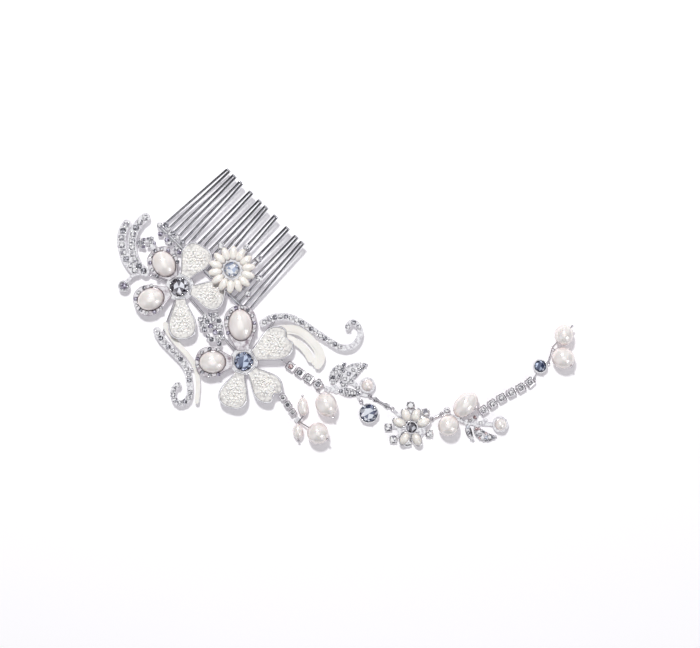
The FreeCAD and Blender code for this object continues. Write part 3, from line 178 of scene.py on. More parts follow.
def seats_in(node: str) -> list[Seat]:
    """Places of all the stones of a node that holds only stones."""
    mesh = merged_copy(node)
    seats = [seat_of(solid) for solid in solids_of(mesh)]
    mesh.free()
    return seats


def pearl_body(verts: Sequence[bmesh.types.BMVert], kept: float) -> PearlBody:
    """Measure the pearl that a solid stands for.

    Args:
        verts: Vertices of the solid.
        kept: Share of the half height that is left under the middle.

    Returns:
        The pearl's place, bearing and half sizes.
    """
    low, high = corners(verts)
    middle = (low + high) / 2
    rise = (high.z - low.z) / (1 + kept)
    middle.z = high.z - rise
    spread_x = spread_y = spread_xy = 0.0
    for vert in verts:
        across = vert.co - middle
        spread_x += across.x ** 2
        spread_y += across.y ** 2
        spread_xy += across.x * across.y
    angle = 0.5 * math.atan2(2 * spread_xy, spread_x - spread_y)
    turn = Matrix.Rotation(-angle, 3, "Z")
    reach = [turn @ (vert.co - middle) for vert in verts]
    semis = Vector((max(abs(p.x) for p in reach), max(abs(p.y) for p in reach), rise))
    return PearlBody(middle, angle, semis, low.z)


# Node groups and finishes


def fill(node: bpy.types.Node, values: dict[str, object]) -> None:
    """Set some of a shader node's inputs.

    Args:
        node: Node to set.
        values: Values by the names of the inputs.
    """
    for name, value in values.items():
        node.inputs[name].default_value = value


def colour_mix(nodes: bpy.types.Nodes, kind: str = "MIX") -> bpy.types.Node:
    """Add a colour mix node that is wholly on unless its factor is linked.

    Args:
        nodes: Nodes of a material, a group or the room.
        kind: Blend type.

    Returns:
        The mix node.
    """
    mix = nodes.new("ShaderNodeMix")
    mix.data_type = "RGBA"
    mix.blend_type = kind
    mix.inputs["Factor"].default_value = 1.0
    return mix


class Surface:
    """Shader node groups that several finishes share, each built once."""

    _groups: dict[str, bpy.types.NodeTree] = {}

    @classmethod
    def mottle(cls) -> bpy.types.NodeTree:
        """Group that mixes two colours in soft clouds with a fine grain height.

        Returns:
            The node group, with Colour, Mask and Height outputs.
        """
        if "mottle" in cls._groups:
            return cls._groups["mottle"]
        tree = bpy.data.node_groups.new("mottle", "ShaderNodeTree")
        for name, way, kind in (
                ("Light", "INPUT", "Color"), ("Dark", "INPUT", "Color"),
                ("Cloud Scale", "INPUT", "Float"), ("Grain Scale", "INPUT", "Float"),
                ("Low", "INPUT", "Float"), ("High", "INPUT", "Float"),
                ("Colour", "OUTPUT", "Color"), ("Mask", "OUTPUT", "Float"),
                ("Height", "OUTPUT", "Float")):
            tree.interface.new_socket(name, in_out=way, socket_type="NodeSocket" + kind)
        nodes, links = tree.nodes, tree.links
        given = nodes.new("NodeGroupInput")
        made = nodes.new("NodeGroupOutput")
        place = nodes.new("ShaderNodeTexCoord")
        cloud = nodes.new("ShaderNodeTexNoise")
        cloud.inputs["Detail"].default_value = 3.0
        grain = nodes.new("ShaderNodeTexNoise")
        grain.inputs["Detail"].default_value = 2.0
        window = nodes.new("ShaderNodeMapRange")
        mix = colour_mix(nodes)
        links.new(place.outputs["Object"], cloud.inputs["Vector"])
        links.new(place.outputs["Object"], grain.inputs["Vector"])
        links.new(given.outputs["Cloud Scale"], cloud.inputs["Scale"])
        links.new(given.outputs["Grain Scale"], grain.inputs["Scale"])
        links.new(cloud.outputs["Fac"], window.inputs["Value"])
        links.new(given.outputs["Low"], window.inputs["From Min"])
        links.new(given.outputs["High"], window.inputs["From Max"])
        links.new(window.outputs["Result"], mix.inputs["Factor"])
        links.new(given.outputs["Light"], mix.inputs["A"])
        links.new(given.outputs["Dark"], mix.inputs["B"])
        links.new(mix.outputs["Result"], made.inputs["Colour"])
        links.new(window.outputs["Result"], made.inputs["Mask"])
        links.new(grain.outputs["Fac"], made.inputs["Height"])
        cls._groups["mottle"] = tree
        return tree


@dataclass(frozen=True)
class Finish:
    """Opaque finish: two mottled colours, a gloss range and a fine grain.

    Attributes:
        name: Name of the material.
        light: Main colour.
        dark: Colour of the cloudy patches.
        slot: Material slot of the record; not used.
        metallic: 1 for metal, 0 for the rest.
        gloss: Roughness of the main and of the cloudy parts.
        cloud: Patches per metre.
        grain: Grain per metre.
        relief: Strength of the grain's bump.
        coat: Weight of a clear coat.
        glow: Share of light that scatters under the surface.
        side: Darker flank colour, a painted shade, laid on by the mesh's "side" attribute, if
            any.
        window: Cloud levels from which the light colour gives way to the dark one.
        coat_gloss: Roughness of the clear coat.
        scatter: How far red, green and blue light scatter, as shares of the depth.
        scatter_depth: Depth of the scattered light.
        grain_depth: Height of the grain.
    """

    name: str
    light: Colour
    dark: Colour
    slot: str
    metallic: float = 0.0
    gloss: tuple[float, float] = (0.2, 0.4)
    cloud: float = 400.0
    grain: float = 3000.0
    relief: float = 0.1
    coat: float = 0.0
    glow: float = 0.0
    side: Colour | None = None
    window: tuple[float, float] = (0.42, 0.72)
    coat_gloss: float = 0.08
    scatter: Colour = (0.9, 0.7, 0.55)
    scatter_depth: float = 0.8 * MM
    grain_depth: float = 0.05 * MM

    def material(self) -> bpy.types.Material:
        """Build the material, or find it if it was built before.

        Returns:
            The Blender material.
        """
        known = bpy.data.materials.get(self.name)
        if known:
            return known
        made = bpy.data.materials.new(self.name)
        made.use_nodes = True
        nodes, links = made.node_tree.nodes, made.node_tree.links
        shader = nodes["Principled BSDF"]
        fill(shader, {"Metallic": self.metallic, "Coat Weight": self.coat,
                      "Coat Roughness": self.coat_gloss, "Subsurface Weight": self.glow,
                      "Subsurface Radius": self.scatter,
                      "Subsurface Scale": self.scatter_depth})
        mottle = nodes.new("ShaderNodeGroup")
        mottle.node_tree = Surface.mottle()
        fill(mottle, {"Light": (*self.light, 1.0), "Dark": (*self.dark, 1.0),
                      "Cloud Scale": self.cloud, "Grain Scale": self.grain,
                      "Low": self.window[0], "High": self.window[1]})
        rough = nodes.new("ShaderNodeMapRange")
        fill(rough, {"To Min": self.gloss[0], "To Max": self.gloss[1]})
        bump = nodes.new("ShaderNodeBump")
        fill(bump, {"Strength": self.relief, "Distance": self.grain_depth})
        if self.side is None:
            links.new(mottle.outputs["Colour"], shader.inputs["Base Color"])
        else:
            # Painted shade: the flanks take the darker side colour as the "side" attribute
            # grows.
            flank = nodes.new("ShaderNodeAttribute")
            flank.attribute_name = "side"
            mix = colour_mix(nodes)
            mix.inputs["B"].default_value = (*self.side, 1.0)
            links.new(flank.outputs["Fac"], mix.inputs["Factor"])
            links.new(mottle.outputs["Colour"], mix.inputs["A"])
            links.new(mix.outputs["Result"], shader.inputs["Base Color"])
        links.new(mottle.outputs["Mask"], rough.inputs["Value"])
        links.new(rough.outputs["Result"], shader.inputs["Roughness"])
        links.new(mottle.outputs["Height"], bump.inputs["Height"])
        links.new(bump.outputs["Normal"], shader.inputs["Normal"])
        return made


@dataclass(frozen=True)
class Crystal:
    """Cut crystal over foil: every facet has its own mix of a light and a dark tint, painted
    highlights and dark reflections.

    Attributes:
        name: Name of the material.
        light: Colour of the facets that flash, a painted highlight.
        dark: Colour of the facets that look into the stone, a painted dark reflection.
        dark_share: Share of the facets that are dark.
        slot: Material slot of the record; not used.
        foil: How metallic the facets are.
        polish: Roughness of the facets and of the glaze over them.
        glaze_index: Refractive index of the glaze.
    """

    name: str
    light: Colour
    dark: Colour
    dark_share: float = 0.62
    slot: str = "blue_crystal"
    foil: float = 0.55
    polish: tuple[float, float] = (0.06, 0.02)
    glaze_index: float = 1.6

    def material(self) -> bpy.types.Material:
        """Build the material, or find it if it was built before.

        Returns:
            The Blender material.
        """
        known = bpy.data.materials.get(self.name)
        if known:
            return known
        made = bpy.data.materials.new(self.name)
        made.use_nodes = True
        nodes, links = made.node_tree.nodes, made.node_tree.links
        shader = nodes["Principled BSDF"]
        fill(shader, {"Metallic": self.foil, "Roughness": self.polish[0],
                      "Coat Weight": 1.0, "Coat Roughness": self.polish[1],
                      "Coat IOR": self.glaze_index})
        # Painted highlights and dark reflections: the facet attribute picks each facet's tint.
        facet = nodes.new("ShaderNodeAttribute")
        facet.attribute_name = "facet"
        mix = colour_mix(nodes)
        fill(mix, {"A": (*self.light, 1.0), "B": (*self.dark, 1.0)})
        links.new(facet.outputs["Fac"], mix.inputs["Factor"])
        links.new(mix.outputs["Result"], shader.inputs["Base Color"])
        return made


class Tint(Enum):
    """Colours of the crystals on the comb, with painted highlights and dark reflections on the
    facets.
    """

    CLEAR = Crystal("crystal_clear", (1.0, 1.0, 1.0), (0.22, 0.21, 0.26), 0.34,
                    "clear_crystal")
    ICE = Crystal("crystal_ice", (0.97, 0.985, 1.0), (0.36, 0.44, 0.62), 0.42)
    STEEL = Crystal("crystal_steel", (0.66, 0.76, 0.96), (0.02, 0.04, 0.12), 0.55)
    NIGHT = Crystal("crystal_night", (0.92, 0.93, 1.0), (0.02, 0.012, 0.03))
    NAVY = Crystal("crystal_navy", (0.90, 0.94, 1.0), (0.05, 0.07, 0.15), 0.45)
    VIOLET = Crystal("crystal_violet", (0.78, 0.76, 0.90), (0.09, 0.06, 0.12))
    SMOKE = Crystal("crystal_smoke", (0.80, 0.80, 0.86), (0.05, 0.05, 0.07), 0.62,
                    "clear_crystal")
    ROSE = Crystal("crystal_rose", (0.95, 0.80, 0.80), (0.20, 0.08, 0.09), 0.45,
                   "clear_crystal")


# The side colours of these finishes darken steep faces: painted shade.
SILVER = Finish("polished_silver", (0.93, 0.93, 0.94), (0.62, 0.61, 0.65), "silver_plate",
                metallic=1.0, gloss=(0.08, 0.2), cloud=450.0, grain=2600.0, relief=0.12,
                side=(0.52, 0.48, 0.52))
# Petal silver: its dark cloudy patches, laid at random, and its side colour are painted shade
# for the pearl trays and chain collars.
PETAL_SILVER_PAINTED_SHADE = Finish("petal_silver", (0.88, 0.86, 0.88), (0.36, 0.30, 0.34), "silver_plate",
                      metallic=1.0, gloss=(0.1, 0.24), cloud=520.0, grain=2600.0, relief=0.12,
                      side=(0.42, 0.36, 0.40))
CAST_SILVER = Finish("cast_silver", (0.94, 0.94, 0.95), (0.54, 0.51, 0.56), "silver_plate",
                     metallic=1.0, gloss=(0.1, 0.26), cloud=900.0, grain=1800.0, relief=0.4,
                     side=(0.46, 0.42, 0.47))
COMB_WIRE = Finish("tooth_wire", (0.88, 0.88, 0.90), (0.50, 0.50, 0.55), "comb_wire",
                   metallic=1.0, gloss=(0.05, 0.14), cloud=300.0, grain=2200.0, relief=0.05,
                   side=(0.72, 0.72, 0.76))
SEED_BEAD = Finish("sewn_bead", (0.97, 0.95, 0.925), (0.90, 0.875, 0.84), "seed_bead",
                   gloss=(0.22, 0.42), cloud=320.0, grain=2500.0, relief=0.06, coat=0.35,
                   glow=0.12)
BEAD_THREAD = Finish("bead_thread", (0.84, 0.82, 0.79), (0.50, 0.48, 0.48), "seed_bead",
                     gloss=(0.6, 0.8), cloud=900.0, grain=4200.0, relief=0.5)
CREAM = Finish("cream_gloss", (0.92, 0.90, 0.86), (0.85, 0.82, 0.77), "cream_enamel",
               gloss=(0.2, 0.36), cloud=200.0, grain=1500.0, relief=0.08, coat=0.5, glow=0.1)
# The pearls' side colours are painted shade, darker and pinker towards their edges.
PEARL = Finish("pearl_lustre", (1.0, 0.955, 0.93), (0.96, 0.90, 0.87), "pearl",
               metallic=0.17, gloss=(0.12, 0.2), cloud=170.0, grain=900.0, relief=0.05,
               coat=1.0, glow=0.1, side=(0.88, 0.74, 0.72))
RICE_PEARL = Finish("rice_lustre", (0.95, 0.92, 0.87), (0.89, 0.84, 0.79), "rice_pearl",
                    metallic=0.06, gloss=(0.18, 0.3), cloud=260.0, grain=1200.0,
                    relief=0.06, coat=0.6, glow=0.1, side=(0.80, 0.72, 0.67))


# Modelling helpers


def finished(mesh: bmesh.types.BMesh, name: str, materials: Sequence[bpy.types.Material],
             body: str, nodes: Sequence[str] = ()) -> bpy.types.Object:
    """Turn a mesh into a piece that rides on a body.

    Args:
        mesh: Mesh in the row frame; it is freed.
        name: Name of the piece.
        materials: Materials in the order of the faces' indices.
        body: Body that carries the piece.
        nodes: CAD nodes that the piece stands for.

    Returns:
        The new object.
    """
    data = bpy.data.meshes.new(name)
    mesh.to_mesh(data)
    mesh.free()
    for material in materials:
        data.materials.append(material)
    piece = bpy.data.objects.new(name, data)
    bpy.context.scene.collection.objects.link(piece)
    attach(piece, body)
    if nodes:
        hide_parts(*nodes)
    log.info("%s: %d faces on %s", name, len(data.polygons), body)
    return piece


def smooth(mesh: bmesh.types.BMesh) -> None:
    """Shade every face smooth."""
    for face in mesh.faces:
        face.smooth = True


def sharpen(mesh: bmesh.types.BMesh, limit: float) -> None:
    """Shade faces smooth and keep the sharp edges.

    Args:
        mesh: Mesh to shade.
        limit: Angle over which an edge stays sharp, in degrees.
    """
    smooth(mesh)
    for edge in mesh.edges:
        edge.smooth = not edge.is_manifold or edge.calc_face_angle(0.0) < math.radians(limit)


def shade_flanks(mesh: bmesh.types.BMesh, share: float) -> None:
    """Write the "side" attribute of painted shade, which grows as the faces get steeper.

    Args:
        mesh: Mesh to write on.
        share: How fast it grows; 1 is reached on upright faces.
    """
    side = mesh.faces.layers.float.new("side")
    for face in mesh.faces:
        face[side] = min(1.0, share * (1.0 - abs(face.normal.z)))


def stamp(mesh: bmesh.types.BMesh, shape: bpy.types.Mesh, place: Matrix,
          material: int = 0) -> list[bmesh.types.BMFace]:
    """Add a copy of a repeated shape to a mesh.

    Args:
        mesh: Mesh that grows.
        shape: Mesh of the repeated shape.
        place: Where the copy goes.
        material: Material index of the copy's faces.

    Returns:
        The new faces.
    """
    verts, faces = len(mesh.verts), len(mesh.faces)
    mesh.from_mesh(shape)
    mesh.verts.ensure_lookup_table()
    mesh.faces.ensure_lookup_table()
    bmesh.ops.transform(mesh, matrix=place, verts=mesh.verts[verts:])
    added = mesh.faces[faces:]
    for face in added:
        face.material_index = material
    return added


def pattern(name: str, build: Callable[[bmesh.types.BMesh], None]) -> bpy.types.Mesh:
    """Build a repeated shape once.

    Args:
        name: Name of the shape.
        build: Function that fills an empty mesh.

    Returns:
        The mesh of the shape.
    """
    known = bpy.data.meshes.get(name)
    if known:
        return known
    mesh = bmesh.new()
    build(mesh)
    data = bpy.data.meshes.new(name)
    mesh.to_mesh(data)
    mesh.free()
    return data


def round_ring(mesh: bmesh.types.BMesh, sides: int, wall: float, tall: float,
               reach: float, steps: int) -> None:
    """Fill a mesh with a ring of round section.

    Args:
        mesh: Empty mesh.
        sides: Faces round the section.
        wall: Radius of the section.
        tall: Height of the section as a share of its width.
        reach: Distance from the axis to the middle of the section.
        steps: Faces round the ring.
    """
    section = bmesh.ops.create_circle(mesh, segments=sides, radius=wall)["verts"]
    bmesh.ops.rotate(mesh, verts=section, matrix=Matrix.Rotation(math.pi / 2, 3, "X"))
    bmesh.ops.scale(mesh, verts=section, vec=Vector((1.0, 1.0, tall)))
    bmesh.ops.translate(mesh, verts=section, vec=Vector((reach, 0.0, 0.0)))
    bmesh.ops.spin(mesh, geom=section + mesh.edges[:], axis=UP, cent=Vector(), steps=steps,
                   angle=math.tau, use_merge=True)
    bmesh.ops.remove_doubles(mesh, verts=mesh.verts, dist=1e-4)
    bmesh.ops.recalc_face_normals(mesh, faces=mesh.faces)
    smooth(mesh)


def bead_ring(mesh: bmesh.types.BMesh) -> None:
    """Seed bead: a short thick ring about its thread hole, one unit across."""
    round_ring(mesh, 6, 0.21, 1.4, 0.29, 9)


def wire_ring(mesh: bmesh.types.BMesh) -> None:
    """Ring of round wire, one unit in radius."""
    round_ring(mesh, 8, 0.14, 1.0, 1.0, 24)


def claw_drop(mesh: bmesh.types.BMesh) -> None:
    """Rounded claw tip, one unit in radius."""
    bmesh.ops.create_icosphere(mesh, subdivisions=1, radius=1.0)
    smooth(mesh)


def collar_block(mesh: bmesh.types.BMesh) -> None:
    """Small block with softened edges, one unit across."""
    bmesh.ops.create_cube(mesh, size=1.0)
    bmesh.ops.bevel(mesh, geom=mesh.edges[:], offset=0.09, offset_type="OFFSET", segments=1,
                    profile=0.5, affect="EDGES", material=-1)


def cut_crystal(sides: int) -> Callable[[bmesh.types.BMesh], None]:
    """Make the builder of a cut stone.

    Args:
        sides: Facets round the girdle.

    Returns:
        A function that builds a stone one unit in radius and height.
    """

    def build(mesh: bmesh.types.BMesh) -> None:
        """Girdle band, crown facets, and a table cut into a star."""
        foot = bmesh.ops.create_circle(mesh, segments=sides, radius=0.96)
        raised = bmesh.ops.extrude_edge_only(mesh, edges=mesh.edges[:])
        girdle = [item for item in raised["geom"] if isinstance(item, bmesh.types.BMEdge)]
        verts = [item for item in raised["geom"] if isinstance(item, bmesh.types.BMVert)]
        bmesh.ops.translate(mesh, verts=verts, vec=UP * 0.3)
        bmesh.ops.scale(mesh, verts=verts, vec=Vector((1.04, 1.04, 1.0)))
        before = set(mesh.edges)
        table = bmesh.ops.create_circle(mesh, segments=max(sides // 2, 6), radius=0.62)
        top = [edge for edge in mesh.edges if edge not in before]
        bmesh.ops.rotate(mesh, verts=table["verts"],
                         matrix=Matrix.Rotation(math.pi / sides, 3, "Z"))
        bmesh.ops.translate(mesh, verts=table["verts"], vec=UP * 0.92)
        rim = [edge for edge in girdle if all(abs(v.co.z - 0.3) < 1e-4 for v in edge.verts)]
        bmesh.ops.bridge_loops(mesh, edges=rim + top)
        lid = bmesh.ops.contextual_create(mesh, geom=table["verts"])
        star = bmesh.ops.poke(mesh, faces=lid["faces"])
        bmesh.ops.translate(mesh, verts=star["verts"], vec=UP * 0.08)
        bmesh.ops.contextual_create(mesh, geom=foot["verts"])
        bmesh.ops.recalc_face_normals(mesh, faces=mesh.faces)

    return build


def scaled_at(point: Vector, size: Vector, turn: float = 0.0) -> Matrix:
    """Placement at a point with a size along each axis and a turn about +Z."""
    return (Matrix.Translation(point) @ Matrix.Rotation(turn, 4, "Z")
            @ Matrix.Diagonal((*size, 1.0)))


# Sub-assemblies


@dataclass
class Metalwork:
    """Plain metal and enamel pieces, taken from their solids with softened edges.

    Attributes:
        edge: Usual width of a softened edge.
        steps: Faces across a softened edge.
        flat: Angle under which neighbouring faces become one, in degrees.
        sharp: Angle over which an edge stays sharp, in degrees.
        flank: How fast the flanks take the finish's side colour, a painted shade, as they get
            steeper.
    """

    edge: float = 0.16 * MM
    steps: int = 2
    flat: float = 4.0
    sharp: float = 32.0
    flank: float = 1.3

    def soften(self, piece: bpy.types.Object, width: float) -> None:
        """Round a piece's edges with a live bevel.

        Args:
            piece: Finished piece.
            width: Width of the softened edges.
        """
        bevel = piece.modifiers.new("soft_edge", "BEVEL")
        bevel.width = width
        bevel.segments = self.steps
        bevel.limit_method = "ANGLE"
        bevel.angle_limit = math.radians(50)
        bevel.use_clamp_overlap = True
        bevel.harden_normals = False

    def dress(self, node: str, finish: Finish, width: float | None = None,
              skip_stones: bool = False) -> bpy.types.Object:
        """Dress one CAD node.

        Args:
            node: Name of the node.
            finish: Its finish.
            width: Width of the softened edges, or None for the usual one.
            skip_stones: Leave out solids that stand for set stones.

        Returns:
            The finished piece.
        """
        mesh = merged_copy(node)
        if skip_stones:
            stones = stone_solids(mesh)
            bmesh.ops.delete(mesh, geom=[v for solid in stones for v in solid],
                             context="VERTS")
        bmesh.ops.dissolve_limit(mesh, angle_limit=math.radians(self.flat),
                                 verts=mesh.verts, edges=mesh.edges)
        sharpen(mesh, self.sharp)
        # Painted shade on the steep faces, through the finish's side colour.
        shade_flanks(mesh, self.flank)
        piece = finished(mesh, node + "_metal", [finish.material()],
                         body_of(node), [node])
        self.soften(piece, self.edge if width is None else width)
        return piece


def stone_solids(mesh: bmesh.types.BMesh) -> list[list[bmesh.types.BMVert]]:
    """Solids of a cup that stand for its stone: the ones that start highest."""
    solids = solids_of(mesh)
    if len(solids) < 2:
        return []
    solids.sort(key=lambda solid: corners(solid)[0].z)
    return solids[1:]


@dataclass
class StoneSet:
    """Cut crystals with the claws that hold them.

    Attributes:
        sides: Facets round each girdle.
        claws: Claws round each stone.
        claw: Radius of a claw as a share of the stone's radius.
        turn: Turn of the first claw, in degrees.
        spread: Width of a stone as a share of its solid's.
        dim: Range of the facet attribute on facets with a painted dark reflection.
        bright: Range of the facet attribute on facets with a painted highlight.
    """

    sides: int = 8
    claws: int = 4
    claw: float = 0.24
    turn: float = 45.0
    spread: float = 1.0
    dim: tuple[float, float] = (0.8, 1.0)
    bright: tuple[float, float] = (0.0, 0.2)

    def build(self, name: str, seats: Sequence[Seat], tints: Sequence[Tint], body: str,
              nodes: Sequence[str] = (), seed: int = 1) -> bpy.types.Object:
        """Set a row of stones.

        Args:
            name: Name of the piece.
            seats: Places of the stones.
            tints: Colours, one for each stone, repeated from the first when short.
            body: Body that carries them.
            nodes: CAD nodes that the piece stands for.
            seed: Seed of the play of facets.

        Returns:
            The finished piece.
        """
        chance = random.Random(seed)
        used = sorted(set(tints), key=lambda tint: tint.name)
        stone = pattern("crystal_%d" % self.sides, cut_crystal(self.sides))
        tip = pattern("claw", claw_drop)
        mesh = bmesh.new()
        facet = mesh.faces.layers.float.new("facet")
        for i, seat in enumerate(seats):
            tint = tints[i % len(tints)]
            radius = seat.radius * self.spread
            place = scaled_at(seat.base, Vector((radius, radius, seat.height)),
                              chance.uniform(0.0, math.pi))
            for face in stamp(mesh, stone, place, 1 + used.index(tint)):
                # Each facet gets by chance a painted dark reflection or a painted highlight.
                dark = chance.random() < tint.value.dark_share
                face[facet] = chance.uniform(*(self.dim if dark else self.bright))
            for k in range(self.claws):
                angle = math.radians(self.turn + 360 * k / self.claws)
                out = Vector((math.cos(angle), math.sin(angle), 0.0)) * radius * 0.98
                size = self.claw * radius
                stamp(mesh, tip, scaled_at(seat.base + out + UP * seat.height * 0.5,
                                           Vector((size, size, seat.height * 0.42)), angle))
        materials = [SILVER.material()] + [tint.value.material() for tint in used]
        return finished(mesh, name, materials, body, nodes)


@dataclass
class PearlString:
    """Freshwater pearls, a little uneven, with a flat where they are glued down.

    Attributes:
        finish: Lustre of the pearls.
        kept: Share of the half height that is left under the middle.
        uneven: Depth of the dents as a share of the radius.
        across: Faces round a pearl.
        plump: Width of a pearl as a share of its solid's.
        edge_shade_power: How late the flanks take the finish's side colour, a painted shade.
    """

    finish: Finish = PEARL
    kept: float = 1.0
    uneven: float = 0.045
    across: int = 40
    plump: float = 1.0
    edge_shade_power: float = 2.0

    def grow(self, mesh: bmesh.types.BMesh, body: PearlBody, seed: float) -> None:
        """Add one pearl to a mesh.

        Args:
            mesh: Mesh that grows.
            body: Place and size of the pearl.
            seed: Makes its dents its own.
        """
        made = bmesh.ops.create_uvsphere(mesh, u_segments=self.across,
                                         v_segments=self.across * 5 // 8, radius=1.0)
        verts = made["verts"]
        side = mesh.verts.layers.float["side"]
        for vert in verts:
            away = vert.co.normalized()
            # Painted shade: none on top, growing to the full side colour at the pearl's sides
            # and under it.
            vert[side] = min(1.0, 1.0 - away.z) ** self.edge_shade_power
            dent = 0.5 + 0.5 * noise.noise(away * 1.15 + Vector((seed, 2 * seed, -seed)))
            vert.co = away * (1.0 - self.uneven * max(0.0, dent))
        bmesh.ops.transform(mesh, matrix=scaled_at(body.middle, body.semis, body.angle),
                            verts=verts)
        if self.kept < 1.0:
            faces = list({face for vert in verts for face in vert.link_faces})
            edges = list({edge for vert in verts for edge in vert.link_edges})
            cut = bmesh.ops.bisect_plane(
                mesh, geom=verts + edges + faces,
                plane_co=Vector((0.0, 0.0, body.floor)), plane_no=-UP, clear_outer=True)
            rim = [item for item in cut["geom_cut"] if isinstance(item, bmesh.types.BMEdge)]
            bmesh.ops.holes_fill(mesh, edges=rim)

    def build(self, node: str, seed: int = 3) -> bpy.types.Object:
        """Make the pearls of a node.

        Args:
            node: CAD node whose solids are pearls.
            seed: Seed of their dents.

        Returns:
            The finished piece.
        """
        solids = merged_copy(node)
        mesh = bmesh.new()
        mesh.verts.layers.float.new("side")
        for i, solid in enumerate(solids_of(solids)):
            body = pearl_body(solid, self.kept)
            body.semis.y *= self.plump
            self.grow(mesh, body, seed + 1.7 * i)
        solids.free()
        sharpen(mesh, 50.0)
        return finished(mesh, node + "_lustre", [self.finish.material()],
                        body_of(node), [node])


@dataclass
class BeadBeds:
    """Seed beads sewn close together over the bed in every bead petal.

    Attributes:
        node: CAD node of the beds.
        bead: Width of a bead.
        pitch: Distance between neighbours.
        sunk: Height of the bed's top under the beads' tops.
        round_off: How much lower the beads lie at the petal's edge.
        probes: Directions in which the edge is looked for.
        overhang: How far a bead's middle keeps from the edge, in beads.
        edge_reach: How far the edge is felt, in beads.
    """

    node: str = "bead_fills"
    bead: float = 1.72 * MM
    pitch: float = 1.52 * MM
    sunk: float = 0.85 * MM
    round_off: float = 0.495 * MM
    probes: int = 12
    overhang: float = 0.2
    edge_reach: float = 1.7

    def spots(self, bed: bmesh.types.BMesh) -> list[tuple[Vector, float]]:
        """Find the places of the beads.

        Args:
            bed: Welded mesh of the beds.

        Returns:
            For each bead its place on the bed and how near the edge it is, 0 to 1.
        """
        tree = BVHTree.FromBMesh(bed)
        low, high = corners(bed.verts)
        chance = random.Random(11)
        found = []
        row = 0
        y = low.y
        while y < high.y:
            x = low.x + (row % 2) * self.pitch / 2
            while x < high.x:
                spot = Vector((x + chance.uniform(-0.1, 0.1) * self.pitch,
                               y + chance.uniform(-0.1, 0.1) * self.pitch, high.z + MM))
                hit = tree.ray_cast(spot, -UP)[0]
                if hit is not None:
                    edge = self.nearness(tree, spot)
                    if edge < 0.99:
                        found.append((hit, edge))
                x += self.pitch
            y += self.pitch * 0.866
            row += 1
        return found

    def nearness(self, tree: BVHTree, spot: Vector) -> float:
        """How near a spot is to the edge of its bed: 0 inside, 1 over the edge.

        Args:
            tree: Search tree of the beds.
            spot: A point above the bed.

        Returns:
            The share of misses round the spot, or 1 if the bead would overhang.
        """
        missed = 0
        for i in range(self.probes):
            out = Matrix.Rotation(math.tau * i / self.probes, 3, "Z") @ Vector((1.0, 0.0, 0.0))
            if tree.ray_cast(spot + out * self.bead * self.overhang, -UP)[0] is None:
                return 1.0
            if tree.ray_cast(spot + out * self.bead * self.edge_reach, -UP)[0] is None:
                missed += 1
        return min(1.0, missed * 2 / self.probes)

    def build(self) -> None:
        """Lay the beads and the sewn bed below them."""
        bed = merged_copy(self.node)
        ring = pattern("seed_bead_ring", bead_ring)
        chance = random.Random(5)
        mesh = bmesh.new()
        for spot, edge in self.spots(bed):
            lean = Matrix.Rotation(chance.uniform(0.3, 1.5), 4,
                                   Vector((chance.uniform(-1, 1), chance.uniform(-1, 1), 0.01)))
            width = self.bead * chance.uniform(0.9, 1.08)
            drop = self.bead / 2 + self.round_off * edge + chance.uniform(0, 0.12) * MM
            place = Matrix.Translation(spot - UP * drop) @ lean @ Matrix.Scale(width, 4)
            stamp(mesh, ring, place)
        finished(mesh, "petal_seed_beads", [SEED_BEAD.material()],
                 body_of(self.node))
        low, high = corners(bed.verts)
        depth = high.z - low.z
        share = (depth - self.sunk) / depth
        bmesh.ops.scale(bed, verts=bed.verts, vec=Vector((1.0, 1.0, share)),
                        space=Matrix.Translation(-Vector((0.0, 0.0, low.z))))
        sharpen(bed, 40.0)
        finished(bed, "petal_sewn_beds", [BEAD_THREAD.material()],
                 body_of(self.node), [self.node])


